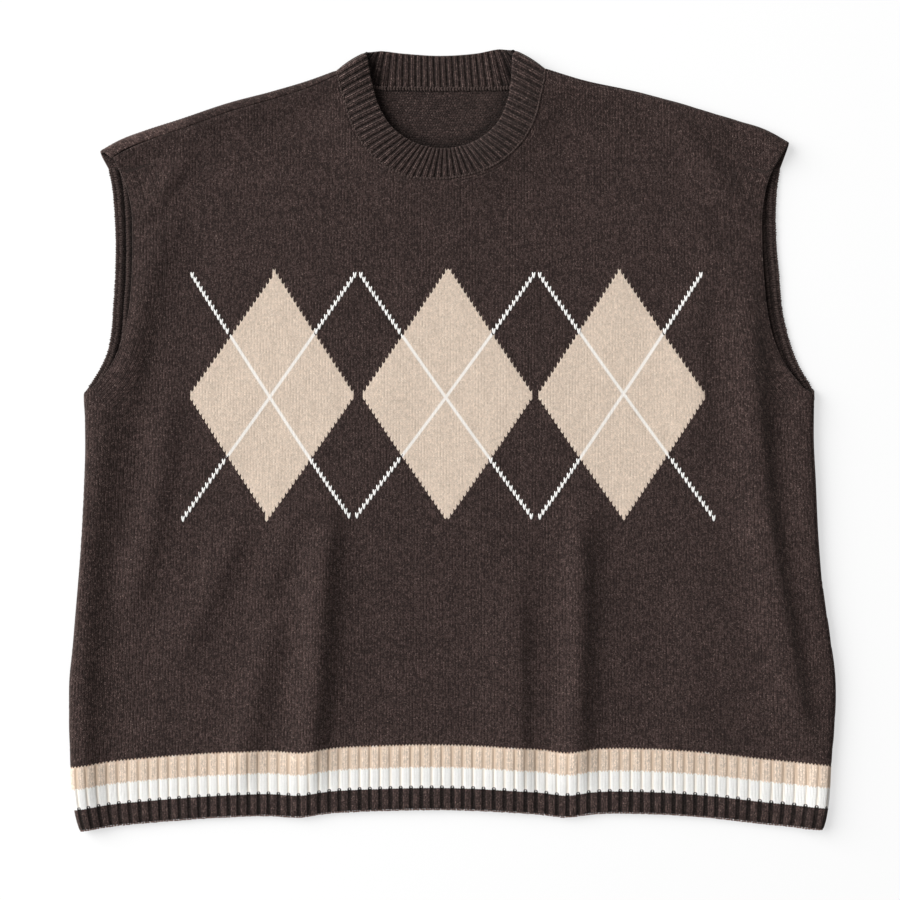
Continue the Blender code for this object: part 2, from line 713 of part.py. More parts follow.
def band_roll(x, y, fold):
    """Cloth reach from the ring's fold line (two points) to x, y."""
    (ax, ay), (bx, by) = fold
    size = math.hypot(bx - ax, by - ay)
    return ((x - ax) * (by - ay) - (y - ay) * (bx - ax)) / size


def ring_reach(plan):
    """Distance in plan from the nearer of the neckband's two folded sides."""
    x, y = plan[..., 0], plan[..., 1]
    left = band_roll(x, y, (NECK_SEAM[0], NECK_EDGE[0]))
    right = band_roll(x, y, (NECK_EDGE[-1], NECK_SEAM[-1]))
    return np.maximum(np.minimum(left, right), 0)


def plan_drop(inset):
    """The roll's drop for a distance in plan from its edge."""
    return ROLL - np.sqrt(np.maximum(ROLL ** 2 - np.maximum(ROLL - inset, 0) ** 2, 0))


def grid_normals(grid):
    """Unit normals of a grid of points, columns running to +X and rows away from it."""
    across = np.gradient(grid, axis=1)
    along = np.gradient(grid, axis=0)
    normal = np.cross(across, along)
    return normal / np.linalg.norm(normal, axis=-1, keepdims=True)


def make_neckband_front():
    """Seam row first, free edge last; the band rises a little towards its free edge."""
    columns, relief = rib_columns(BAND_RIBS_FRONT)
    rows, ends = np.array(BAND_ROWS_FRONT).T
    inset = SEAM_GAP / 2 / path_length(NECK_SEAM)
    t = inset + (1 - 2 * inset) * columns
    lean = BAND_LEAN * np.sin(2 * math.pi * t)
    seam = neck_seam(t)
    edge = neck_edge(t + lean)
    towards = edge - seam
    seam = seam + towards / np.linalg.norm(towards, axis=-1, keepdims=True) * SEAM_GAP / 2
    plan = seam[None] + (edge - seam)[None] * rows[:, None, None]
    lift = BAND_RISE * rows + BAND_CROWN * np.sin(math.pi * rows)
    height = upper_height(seam)[None] + lift[:, None]
    z = over_roll(height, plan_drop(ring_reach(plan)) * BAND_PARTING)
    base = np.concatenate([plan, z[..., None]], axis=-1)
    normal = -grid_normals(base)
    normal = normal * np.sign(normal[..., 2:3] + 1e-9)
    outer = base + normal * (ends[:, None] * relief[None] * BAND_RELIEF)[..., None]
    inner = base - normal * WALL
    return band_wall("neckband_front", outer, inner, "rib_brown")


def make_neckband_back():
    """Flat underneath; the ribs stand on its upper face, which shows inside the neck."""
    columns, relief = rib_columns(BAND_RIBS_BACK)
    rows, ends = np.array(BAND_ROWS_BACK).T
    inset = SEAM_GAP / 2 / path_length(BACK_NECK)
    t = inset + (1 - 2 * inset) * columns
    low = back_neck(t) + (0, SEAM_GAP / 2)
    high = ring_top(t)
    plan = low[None] + (high - low)[None] * rows[:, None, None]
    reach = ring_reach(plan)
    z = plan_drop(reach) * BAND_PARTING
    under = np.concatenate([plan, z[..., None]], axis=-1)
    normal = grid_normals(under)
    normal = normal * np.sign(normal[..., 2:3] + 1e-9)
    flat = np.where(reach > ROLL, 1.0, 0.0)
    raised = ends[:, None] * relief[None] * BAND_RELIEF * flat
    upper = under + normal * (WALL + raised)[..., None]
    return band_wall("neckband_back", upper, under, "rib_brown")


def main():
    for thing in list(bpy.data.objects):
        bpy.data.objects.remove(thing, do_unlink=True)
    make_panel("back_panel", "back", BACK_SPACING)
    make_panel("front_panel", "front", FRONT_SPACING)
    places, relief = rib_columns(HEM_RIBS)
    places = places + HEM_SPREAD * (places ** 2 - places)
    make_hem("hem_rib_front", "front", places, relief)
    plain = np.linspace(0, 1, HEM_BACK_COLUMNS)
    make_hem("hem_rib_back", "back", plain, np.zeros(HEM_BACK_COLUMNS))
    make_neckband_front()
    make_neckband_back()


main()
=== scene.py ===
"""Looks of a knitted sleeveless pullover that lies flat on its back.

Sizes are in millimetres on the drawing that the garment was cut from, and become metres, with the
garment's middle at the origin, when a mesh is made. +X is to the viewer's right, +Y towards the
neck and +Z up.
"""

import math

import bmesh
import bpy
import numpy as np
from mathutils import Euler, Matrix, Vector
from mathutils.geometry import delaunay_2d_cdt


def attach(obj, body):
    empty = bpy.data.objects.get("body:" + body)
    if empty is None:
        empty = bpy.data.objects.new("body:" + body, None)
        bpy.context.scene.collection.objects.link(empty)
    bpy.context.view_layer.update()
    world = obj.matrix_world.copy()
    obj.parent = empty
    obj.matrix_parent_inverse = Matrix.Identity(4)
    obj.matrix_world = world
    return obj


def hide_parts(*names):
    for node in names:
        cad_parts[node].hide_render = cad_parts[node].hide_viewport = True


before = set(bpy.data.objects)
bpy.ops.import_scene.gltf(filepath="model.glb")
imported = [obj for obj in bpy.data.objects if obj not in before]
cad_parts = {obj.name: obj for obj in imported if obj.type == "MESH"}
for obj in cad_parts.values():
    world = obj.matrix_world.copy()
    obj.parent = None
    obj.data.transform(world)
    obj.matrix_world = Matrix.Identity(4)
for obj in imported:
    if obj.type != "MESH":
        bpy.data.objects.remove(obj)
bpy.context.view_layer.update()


# ---- back panel ----
# The garment's back, one piece of stocking stitch in dark brown wool with its purl side inwards.
# It lies flat on the floor, and its edges roll up over both shoulders and the right side, where
# they are linked to the front.
MM = 0.001
MIDDLE = np.array([-0.1, 0.59, 0.0])  # middle of the drawing, put at the origin
WALL = 2.2              # one layer of cloth
FOLD_HEIGHT = 9.6       # height of a folded edge
REST_HEIGHT = 5.4       # top of the front where it lies on the back
ROLL = FOLD_HEIGHT / 2  # radius of a folded edge
QUARTER = ROLL * math.pi / 2  # cloth in the lower or the upper half of a roll
EASE = 14.0, 70.0       # cloth taken up by a roll is given back between these distances
FOLD_FLAT = 8.0         # the cloth stays high for this distance in from a folded edge
FOLD_FADE = 22.0        # and has sunk most of the way at this one
RIB_HEIGHT = 51.0
WALE = 2.535            # one stitch across, and one row up
COURSE = 1.886
CHART_MIDDLE = (-5.25, 34.75)  # the stitch that both coordinates are counted from
HEM_COURSE = -153       # row at which the panel meets its rib
FACING = {"front": 1, "back": -1}  # 1 where the outer face looks up
SIDES = [
    # y       left     right
    (-318.0, -300.4, 298.8),
    (-307.0, -303.9, 302.2),
    (-299.0, -305.6, 303.6),
    (-259.0, -309.1, 306.6),
    (-227.0, -310.0, 309.2),
    (-194.0, -309.8, 309.8),
    (-162.0, -306.6, 305.8),
    (-113.5, -302.6, 298.8),
    (-81.0, -300.2, 296.0),
    (-33.0, -297.8, 293.7),
    (0.0, -296.9, 292.1),
    (38.0, -298.2, 292.9),
    (120.0, -300.0, 296.0),
]
UNDERARM = 38.0
ARMHOLES = [
    # y      left back  left front  right front  right back
    (42.0, -295.2, -290.6, 283.0, 291.2),
    (47.0, -291.5, -285.6, 278.9, 288.0),
    (55.0, -286.6, -279.1, 272.6, 283.1),
    (67.0, -280.7, -272.0, 265.8, 277.3),
    (83.0, -276.7, -266.0, 259.4, 272.0),
    (105.0, -274.8, -261.3, 254.7, 267.1),
    (130.0, -273.2, -259.2, 252.1, 264.8),
    (160.0, -272.7, -258.4, 250.5, 262.3),
    (185.0, -273.8, -259.3, 250.8, 261.9),
    (205.0, -275.8, -264.0, 254.2, 263.2),
    (219.0, -278.6, -270.0, 259.4, 265.4),
]
LEFT_SHOULDER = [
    # x      y      rolled over
    (-284.0, 232.3, 13.5),
    (-266.0, 242.8, 12.8),
    (-247.7, 250.1, 12.0),
    (-220.0, 259.2, 11.6),
    (-180.6, 272.4, 10.6),
    (-145.0, 281.8, 9.8),
    (-115.0, 290.8, 9.0),
    (-93.7, 298.6, 7.4),
]
RIGHT_SHOULDER = [
    (74.7, 300.2, 4.4),
    (105.4, 290.8, 4.2),
    (145.0, 282.2, 3.0),
    (175.7, 274.3, 1.6),
    (203.0, 266.2, 1.0),
    (230.0, 258.0, 1.0),
    (254.0, 249.8, 1.0),
    (270.3, 239.8, 1.4),
]
SIDE_SEAM = (0.0, 4.6)  # how far the back rolls over the left and the right side
RIGHT_TIP = {"front": 269.6, "back": 270.0}
LEFT_TIP = -277.3
LEFT_TIP_WRAP = [(-283.2, 239.5), (-282.5, 233.0), (-279.9, 226.5)]
NECK_SEAM = [
    # x      y
    (-93.7, 298.6), (-90.8, 286.0), (-86.9, 273.5), (-82.6, 258.6), (-76.2, 245.2),
    (-65.9, 230.9), (-52.1, 219.6), (-36.0, 212.5), (-18.2, 210.4), (-2.8, 211.0),
    (15.8, 214.6), (37.0, 223.6), (51.0, 234.9), (60.4, 246.8), (66.9, 261.4),
    (71.0, 277.5), (73.8, 290.0), (74.7, 300.2),
]
NECK_EDGE = [
    # x      y
    (-69.0, 313.8), (-67.0, 299.0), (-64.2, 285.6), (-58.6, 267.9), (-49.7, 253.4),
    (-37.6, 243.4), (-23.0, 237.1), (-9.3, 235.0), (5.3, 236.4), (21.4, 242.8),
    (35.1, 254.5), (43.2, 270.3), (46.6, 285.0), (47.6, 300.2), (48.5, 315.6),
]
BACK_NECK = [
    (-93.7, 298.6), (-80.0, 289.4), (-64.2, 285.2), (-37.0, 284.0), (-9.3, 283.7),
    (19.0, 284.0), (46.5, 285.0), (62.0, 290.0), (74.7, 300.2),
]
FRONT_NECK_SPAN = (0.975, 0.042)  # fractions of the neck's lines at which a panel's cut ends
BACK_NECK_SPAN = (0.985, 0.015)
HEM_EDGE = [
    # x      y
    (-330.0, -317.6), (-301.8, -316.0), (-276.7, -312.3), (-228.3, -307.6),
    (-179.8, -304.4), (-150.0, -303.5), (-121.0, -304.4), (-106.0, -302.2),
    (-58.6, -299.4), (-10.0, -298.6), (38.4, -300.2), (71.0, -302.4), (91.5, -304.6),
    (112.0, -302.2), (159.6, -301.9), (208.1, -305.0), (256.5, -310.6),
    (304.0, -314.8), (330.0, -315.8),
]
PANEL_START = -263.0    # y at which the side seams meet the hem ribs
NECK_CENTRE = (-9.5, 298.6)
NECK_RADII = (84.0, 88.0)  # the oval along which the front stands up round the neck
ARMHOLE_RISE = {-1: 2.2, 1: 0.8}  # how far the front stands up along its armholes
ARMHOLE_FADE = 18.0
ARMHOLE_START = 24.0    # it rises over this distance above the underarm
NECK_RISE = 3.4
NECK_FADE = 20.0
RIPPLES = [(0.30, 26, 48, 3), (0.16, 11, 19, 4)]  # height, width, length and seed
HEM_HOLD = (-298, -246, 0.26)  # between these heights the rib presses the folds to this share

FOLDS = {
    # y at the top and the bottom, x at the top, the middle and the bottom, height, width to the
    # left and to the right, and the lengths over which the fold fades at the top and the bottom
    "left_main": (-25, -390, -98.5, -110.4, -125.7, 8.7, 12.0, 8.4, 90, 200),
    "right_main": (-27, -390, 104.5, 101.6, 94.0, 7.8, 10.1, 8.2, 80, 200),
    "right_shelf": (-80, -320, 52.0, 53.0, 55.0, 4.3, 19.0, 7.0, 70, 30),
    "right_side": (180, -265, 236.0, 251.5, 288.0, 8.2, 14.0, 6.9, 130, 60),
    "right_inner": (135, -30, 197.0, 199.0, 205.0, 1.7, 16.0, 7.5, 40, 40),
    "left_side": (60, -160, -226.0, -240.0, -264.0, 4.0, 10.0, 8.6, 60, 50),
    "left_diagonal": (-55, -195, -165.0, -196.0, -226.0, 3.4, 11.0, 7.6, 40, 45),
    "left_low": (-120, -300, -137.0, -160.0, -180.0, 3.7, 10.0, 8.6, 50, 30),
    "left_short": (-40, -145, -120.0, -138.0, -158.0, 2.2, 9.0, 6.6, 30, 30),
    "left_underarm": (75, -100, -264.0, -281.0, -291.0, 5.0, 12.0, 14.0, 50, 60),
    "left_edge": (-40, -330, -294.0, -297.0, -295.0, 2.9, 7.0, 9.0, 60, 60),
    "left_armhole": (205, 20, -224.0, -248.0, -268.0, 3.4, 9.0, 9.5, 45, 50),
    "left_tip": (244, 162, -205.0, -232.0, -258.0, 2.6, 9.0, 4.8, 25, 25),
    "right_shoulder": (278, 170, 166.0, 207.0, 245.0, 3.6, 10.0, 5.4, 35, 25),
    "right_crease": (208, 108, 186.0, 211.0, 233.0, 2.1, 10.0, 5.6, 35, 30),
    "right_low": (-110, -275, 192.0, 198.0, 203.0, 2.0, 12.0, 24.0, 45, 35),
}


def smooth_step(low, high, value):
    """0 below low, 1 above high, with a soft ramp between."""
    t = np.clip((value - low) / (high - low), 0.0, 1.0)
    return t * t * (3.0 - 2.0 * t)


def through(knots, values):
    """A smooth function through the given values, straight beyond both ends."""
    knots, values = np.array(sorted(zip(knots, values)), float).T
    slopes = np.gradient(values, knots)

    def evaluate(at):
        inner = np.clip(at, knots[0], knots[-1])
        k = np.clip(np.searchsorted(knots, inner) - 1, 0, len(knots) - 2)
        span = knots[k + 1] - knots[k]
        t = (inner - knots[k]) / span
        value = ((1 + 2 * t) * (1 - t) ** 2 * values[k] + t * (1 - t) ** 2 * span * slopes[k]
                 + t * t * (3 - 2 * t) * values[k + 1] + t * t * (t - 1) * span * slopes[k + 1])
        return value + np.where(at < knots[0], slopes[0], slopes[-1]) * (at - inner)

    return evaluate


def curve(table, value=1, knot=0):
    """A smooth function through two columns of a table."""
    return through([row[knot] for row in table], [row[value] for row in table])


def lengths_along(points):
    """Length of a line of points up to each of them."""
    steps = np.hypot(*np.diff(np.asarray(points, float), axis=0).T)
    return np.concatenate([[0.0], np.cumsum(steps)])


def path_through(points):
    """A smooth path (fraction of its length -> x, y) through the given points."""
    length = lengths_along(points)
    parts = [through(length / length[-1], part) for part in zip(*points)]
    return lambda t: np.stack([part(t) for part in parts], axis=-1)


side_x = {-1: curve(SIDES, 1), 1: curve(SIDES, 2)}
shoulder_y = {-1: curve(LEFT_SHOULDER), 1: curve(RIGHT_SHOULDER)}
rolled_over = {-1: curve(LEFT_SHOULDER, 2), 1: curve(RIGHT_SHOULDER, 2)}
armhole_x = {
    ("back", -1): curve(ARMHOLES, 1),
    ("front", -1): curve(ARMHOLES, 2),
    ("front", 1): curve(ARMHOLES, 3),
    ("back", 1): curve(ARMHOLES, 4),
}
neck_seam = path_through(NECK_SEAM)
neck_edge = path_through(NECK_EDGE)
back_neck = path_through(BACK_NECK)
neck_x = {-1: curve(NECK_SEAM[:4], 0, 1), 1: curve(NECK_SEAM[-4:], 0, 1)}
hem_edge = curve(HEM_EDGE)


def hem_seam(x):
    """y of the line where the hem rib meets its panel."""
    return hem_edge(x) + RIB_HEIGHT


def ease_off(reach):
    """Cloth length less plan length, for a cloth distance from the fold."""
    reach = np.abs(reach)
    on_roll = reach - ROLL * (1 - np.cos(np.minimum(reach, QUARTER) / ROLL))
    past = (math.pi / 2 - 1) * ROLL * (1 - smooth_step(*EASE, reach))
    return np.where(reach < QUARTER, on_roll, past)


REACHES = np.linspace(0.0, 2 * EASE[1], 561)
INSETS = REACHES - ease_off(REACHES)


def reach_of(inset):
    """Cloth distance from the fold, for a distance in plan."""
    return np.interp(inset, INSETS, REACHES) + np.maximum(inset - INSETS[-1], 0)


def roll_drop(reach):
    """How far a roll's surface lies above the floor, underneath, at a cloth distance."""
    return ROLL * (1 - np.sin(np.minimum(np.abs(reach), QUARTER) / ROLL))


def over_roll(height, drop):
    """Height of the upper half of a roll that rises to the given height."""
    return ROLL + (height - ROLL) * (1 - drop / ROLL)


def shoulder_frame(x):
    """y of the shoulder's fold at x, and the unit direction from it into the garment."""
    y, ahead = (np.where(x < NECK_CENTRE[0], shoulder_y[-1](at), shoulder_y[1](at))
                for at in (x, x + 1.0))
    slope = ahead - y
    size = np.sqrt(1 + slope ** 2)
    return y, slope / size, -1 / size


def side_reach(points):
    """Distance from the nearer side fold: positive inside, negative beyond it."""
    x, y = points[..., 0], points[..., 1]
    return np.where(x < 0, x - side_x[-1](y), side_x[1](y) - x)


def shoulder_reach(points):
    """Distance from the shoulder's fold: positive inside, negative beyond it."""
    fold_y, _, down = shoulder_frame(points[..., 0])
    return (points[..., 1] - fold_y) * down


def opened_out(points):
    """Cloth coordinates of points given in plan, for the layer they lie on."""
    points = np.array(points, float)
    sign = np.where(points[..., 0] < 0, 1.0, -1.0)
    inset = np.maximum(side_reach(points), 0)
    points[..., 0] += sign * (reach_of(inset) - inset)
    inset = np.maximum(shoulder_reach(points), 0)
    longer = reach_of(inset) - inset
    _, nx, ny = shoulder_frame(points[..., 0])
    return points + np.stack([nx * longer, ny * longer], axis=-1)


def fold_height(x, y):
    """Height of the soft folds over the front's resting height."""
    total = 0.0
    for top, bottom, x_top, x_mid, x_bottom, height, left, right, fade_in, fade_out in FOLDS.values():
        crest = through([bottom, (top + bottom) / 2, top], [x_bottom, x_mid, x_top])
        lean = math.cos(math.atan2(abs(x_top - x_bottom), top - bottom))
        off = (x - crest(y)) * lean
        off = off / np.where(off < 0, left, right)
        along = smooth_step(0, fade_in, top - y) * smooth_step(0, fade_out, y - bottom)
        total = total + height * along * np.exp(-0.5 * off ** 2)
    low, high, share = HEM_HOLD
    return total * (share + (1 - share) * smooth_step(low, high, y))


def ripple(x, y, width, length, seed):
    """Soft uneven ripples from -1 to 1, with a typical width and length."""
    grid = np.random.default_rng(seed).uniform(-1, 1, (64, 64))
    u = x / width + 32
    v = y / length + 32
    i = np.clip(np.floor(u).astype(int), 0, 62)
    j = np.clip(np.floor(v).astype(int), 0, 62)
    s = smooth_step(0, 1, u - i)
    t = smooth_step(0, 1, v - j)
    low, high = (grid[i, row] * (1 - s) + grid[i + 1, row] * s for row in (j, j + 1))
    return low * (1 - t) + high * t


def upper_height(plan):
    """Height of the front's outer face over the floor, away from the rolls."""
    x, y = plan[..., 0], plan[..., 1]
    from_armhole = np.where(x < 0, x - armhole_x["front", -1](y), armhole_x["front", 1](y) - x)
    ring = np.hypot((x - NECK_CENTRE[0]) / NECK_RADII[0], (y - NECK_CENTRE[1]) / NECK_RADII[1])
    at_armhole = np.where(x < 0, ARMHOLE_RISE[-1], ARMHOLE_RISE[1])
    rises = [
        (FOLD_HEIGHT - REST_HEIGHT, side_reach(plan) - FOLD_FLAT, FOLD_FADE - FOLD_FLAT),
        (FOLD_HEIGHT - REST_HEIGHT, shoulder_reach(plan) - FOLD_FLAT, FOLD_FADE - FOLD_FLAT),
        (at_armhole * smooth_step(UNDERARM, UNDERARM + ARMHOLE_START, y), from_armhole, ARMHOLE_FADE),
        (NECK_RISE, (ring - 1) * NECK_RADII[1], NECK_FADE),
    ]
    cubed = sum((rise * np.exp(-(np.maximum(away, 0) / fade) ** 2)) ** 3 for rise, away, fade in rises)
    uneven = sum(height * ripple(x, y, *size) for height, *size in RIPPLES)
    return REST_HEIGHT + np.cbrt(cubed) + fold_height(x, y) + uneven


def taken_up(reach):
    """How much nearer to a fold the cloth lies in plan than its own length says."""
    return reach - (np.abs(reach) - ease_off(reach))


def lay(cloth, layer):
    """Outer face of the front or the back: cloth coordinates to x, y, z."""
    side, shoulder = side_reach(cloth), shoulder_reach(cloth)
    _, nx, ny = shoulder_frame(cloth[..., 0])
    plan = cloth.copy()
    plan[..., 0] += np.where(cloth[..., 0] < 0, -1.0, 1.0) * taken_up(side)
    plan[..., 0] -= nx * taken_up(shoulder)
    plan[..., 1] -= ny * taken_up(shoulder)
    drop = np.maximum(roll_drop(side), roll_drop(shoulder))
    wrapped = np.minimum(side, shoulder) < 0
    on_floor = wrapped if layer == "front" else ~wrapped
    z = np.where(on_floor, drop, over_roll(upper_height(plan), drop))
    return np.concatenate([plan, z[..., None]], axis=-1)


def unit(vectors):
    return vectors / np.linalg.norm(vectors, axis=-1, keepdims=True)


def outward(cloth, layer):
    """Unit normals of a laid layer, pointing out of the garment."""
    across, along = (lay(cloth + step, layer) - lay(cloth - step, layer) for step in 0.05 * np.eye(2))
    return unit(np.cross(across, along)) * FACING[layer]


# Stitches are counted in wales across and courses up. The cloth spreads towards the hem, so its
# wales fan out, and its courses bend with the hem.
FAN = (-0.006, 0.00017)  # a wale's lean in the middle, and what it gains with each millimetre out
BEND_FADE = (-240, 80)  # between these heights the courses lose the hem's bend
HEM_LEVEL = CHART_MIDDLE[1] + HEM_COURSE * COURSE


def bend(x, y):
    """How far the hem bends a course away from a straight line."""
    return (hem_seam(x) - HEM_LEVEL) * (1 - smooth_step(*BEND_FADE, y))


def stitch_count(cloth):
    """Wale and course of cloth coordinates, counted from the chart's middle stitch."""
    x, y = cloth[..., 0], cloth[..., 1]
    below = CHART_MIDDLE[1] - y
    across = (x - CHART_MIDDLE[0] - FAN[0] * below) / (1 + FAN[1] * below)
    return np.stack([across / WALE, -(below + bend(x, y)) / COURSE], axis=-1)


def stitch_place(wales, courses):
    """Cloth coordinates of a stitch, the reverse of stitch_count."""
    below = -courses * COURSE
    for _ in range(6):
        x = CHART_MIDDLE[0] + wales * WALE * (1 + FAN[1] * below) + FAN[0] * below
        below = -courses * COURSE - bend(x, CHART_MIDDLE[1] - below)
    return np.stack([x, CHART_MIDDLE[1] - below], axis=-1)


def stations(start, end, step):
    """Even numbers from start to end, about a step apart."""
    return np.linspace(start, end, max(2, int(abs(end - start) / step) + 1))


def shoulder_point(x, reach):
    """The point at a distance from a shoulder's fold at x."""
    fold_y, nx, ny = shoulder_frame(x)
    return np.stack([x + nx * reach, fold_y + ny * reach], axis=-1)


def shoulder_line(reach, start, end, step):
    """Points along a shoulder at a cloth distance from its fold, which is a function of x."""
    x = stations(start, end, step)
    return shoulder_point(x, reach(x))


def side_line(side, reach, step):
    """Points up a side, from the hem rib, at a cloth distance from its fold."""
    y = stations(side_start(side), UNDERARM - 1, step)
    return np.stack([side_x[side](y) - side * reach, y], axis=-1)


def armhole_line(layer, side, step):
    """Points up an armhole's edge, in cloth coordinates."""
    y = stations(ARMHOLES[0][0], ARMHOLES[-1][0], step)
    return opened_out(np.stack([armhole_x[layer, side](y), y], axis=-1))


def neck_end(side, reach):
    """x on a shoulder's fold from which a reach ends beside the neckband."""
    x = NECK_SEAM[0 if side < 0 else -1][0]
    for _ in range(4):
        inset = abs(reach(x)) - ease_off(reach(x))
        end_x, end_y = shoulder_point(x, inset)
        x += neck_x[side](end_y) - end_x
    return float(x)


def round_end(side, reaches):
    """Points where the back's roll over a shoulder ends beside the neckband."""
    return np.array([shoulder_point(neck_end(side, lambda _: -reach), -reach) for reach in reaches])


def neck_line(path, table, span, step):
    """Points between two fractions of a line round the neck, in cloth coordinates."""
    return opened_out(path(np.linspace(*span, int(lengths_along(table)[-1] / step))))


def side_start(side):
    """Height at which a side seam starts, at the hem rib."""
    fold_x = side_x[side](PANEL_START)
    return float(hem_seam(fold_x - side * SIDE_SEAM[1]))


def panel_outline(layer, step):
    """A panel's cut edge in cloth coordinates, round from its lower left corner."""
    facing = FACING[layer]
    left = side_line(-1, facing * SIDE_SEAM[0], step)
    right = side_line(1, facing * SIDE_SEAM[1], step)
    x = stations(left[0, 0], right[0, 0], step)[1:-1]
    over_left, over_right = (lambda at, side=side: facing * rolled_over[side](at) for side in (-1, 1))
    neck_end_right, neck_end_left = neck_end(1, over_right), neck_end(-1, over_left)
    shoulders = [shoulder_line(over_right, RIGHT_TIP[layer], neck_end_right, step),
                 shoulder_line(over_left, neck_end_left, LEFT_TIP, step)]
    if layer == "front":
        neck = [neck_line(neck_seam, NECK_SEAM, FRONT_NECK_SPAN, step)]
        tip = []
    else:
        neck = [round_end(1, (2.6, 0.0)), neck_line(back_neck, BACK_NECK, BACK_NECK_SPAN, step),
                round_end(-1, (0.0, 3.0, 5.6))]
        tip = [LEFT_TIP_WRAP]
    return np.concatenate([
        left[:1], np.stack([x, hem_seam(x)], axis=-1), right, armhole_line(layer, 1, step),
        shoulders[0], *neck, shoulders[1], *tip, armhole_line(layer, -1, step)[::-1], left[:0:-1]])


def evenly(line, step):
    """A closed line with its long stretches divided."""
    parts = []
    for start, end in zip(line, np.roll(line, -1, axis=0)):
        count = max(1, round(float(np.hypot(*(end - start))) / step))
        parts.append(start + (end - start) * (np.arange(count) / count)[:, None])
    return np.concatenate(parts)


def moved_in(line, distance, closed=True):
    """A line, walked anticlockwise round the cloth, moved inwards."""
    if closed:
        ahead = unit(np.roll(line, -1, axis=0) - line)
        along = unit(ahead + np.roll(ahead, 1, axis=0))
    else:
        along = unit(np.gradient(line, axis=0))
    return line + np.stack([-along[:, 1], along[:, 0]], axis=-1) * np.reshape(distance, (-1, 1))


def shares(count):
    """Slices that cover a count of points a few thousand at a time, to save memory."""
    return [slice(k, k + 4000) for k in range(0, count, 4000)]


def nearest(points, line):
    """Distance from each point to an open line, and how far along the line that is."""
    start, span = line[:-1], np.diff(line, axis=0)
    length = np.linalg.norm(span, axis=1)
    before = lengths_along(line)
    away, along = np.empty((2, len(points)))
    for part in shares(len(points)):
        gap = points[part, None] - start
        t = np.clip((gap * span).sum(axis=-1) / length ** 2, 0, 1)
        gap = np.linalg.norm(gap - t[..., None] * span, axis=-1)
        best = gap.argmin(axis=1)
        row = np.arange(len(best))
        away[part] = gap[row, best]
        along[part] = before[best] + t[row, best] * length[best]
    return away, along


def inside(points, outline):
    """Which points lie inside a closed outline."""
    bx, by = outline.T
    ax, ay = np.roll(outline, 1, axis=0).T
    rise = np.where(by == ay, 1e-9, by - ay)
    within = np.zeros(len(points), bool)
    for part in shares(len(points)):
        x, y = points[part].T[..., None]
        crosses = ((ay > y) != (by > y)) & (x < ax + (y - ay) * (bx - ax) / rise)
        within[part] = crosses.sum(axis=1) % 2 == 1
    return within


EDGE_STEP = 2.6         # spacing of points along a cut edge
EDGE_ROUND = 1.0        # a cut edge is rounded over this distance
EDGE_TURNS = (45, 0, -45)  # degrees round the edge, from the outer face to the inner
EDGE_CLEAR = 0.8        # other points keep this far from the edge's
ARMHOLE_BAND = 28.0     # width of the shaped band, whose wales follow the armhole
WALE_RELIEF = 0.26      # depth of the valley between two wales
ROW_STEP = 3            # courses between two rows of points on the outer face
LINING_STEP = 4.6       # spacing of points on the inner face
LINING_SPANS = ((-320, 322), (-268, 312))
CHART_HALF = (130, 150)  # wales to each side of the middle, and courses above it, that hold it all
ROLL_ROWS = np.arange(-13.5, 16, 1.5)  # rows of points across a roll, from its fold
ROLL_CLEAR = 16         # other points keep this far from a fold
SHOULDER_START = (70.0, 200)  # the shoulders lie further out and up than this
SHOULDER_STITCH = (116, 118.0)  # their last wale, and their course
TURN_WIDTH = 7.6        # the back's armhole edge is turned in by this much
TURN_GROOVE = (0.9, 0.75, 0.25)  # the groove along it: spread, depth, and its share on the right
TURN_BULGE = (0.45, (0, 1.6), (5.2, 7.0))  # its height, and where it rises and falls
TURN_LINES = (1.8, 3.6, 5.2, 6.3, 7.0, 7.6, 8.2, 9.0, 10.4)
FAR = 60.0
NECK_STATIONS = np.linspace(0, 1, 160)  # places along the lines round the neck
DIAMOND_WALES = 56      # from one diamond's middle to the next
DIAMOND_COURSES = 54    # from a diamond's middle to its tip
DIAMOND_RELIEF = 0.3    # share of the valleys' depth inside the diamonds


def armhole_place(cloth, layer):
    """Distance in from the armhole and up along it, where the shaped band lies."""
    away, up = np.full((2, len(cloth)), FAR)
    for side in (-1, 1):
        near = np.flatnonzero((cloth[:, 0] * side > 180) & (cloth[:, 1] > 0))
        gap, along = nearest(cloth[near], armhole_line(layer, side, 2.0))
        beside = (gap < ARMHOLE_BAND) & (along > 0.01) & (along < along.max() - 0.01)
        away[near[beside]] = gap[beside]
        up[near[beside]] = along[beside]
    return away, up


def armhole_rows(layer, side, step, distances):
    """Lines of points along an armhole, at distances in from its edge."""
    edge = armhole_line(layer, side, step)[::side]
    return [moved_in(edge, distance, False) for distance in distances]


def shoulder_rows(x):
    """Rows of points across both shoulders' rolls, at the given x."""
    x = x[np.abs(x) > SHOULDER_START[0]]
    fold_y, _, down = shoulder_frame(x)
    y = fold_y + ROLL_ROWS[:, None] / down
    return np.stack([np.broadcast_to(x, y.shape), y], axis=-1).reshape(-1, 2)


def apart(parts, ring):
    """The points that lie inside a ring and not too close to it."""
    points = np.concatenate(parts)
    points = points[inside(points, ring)]
    return points[nearest(points, np.concatenate([ring, ring[:1]]))[0] > EDGE_CLEAR]


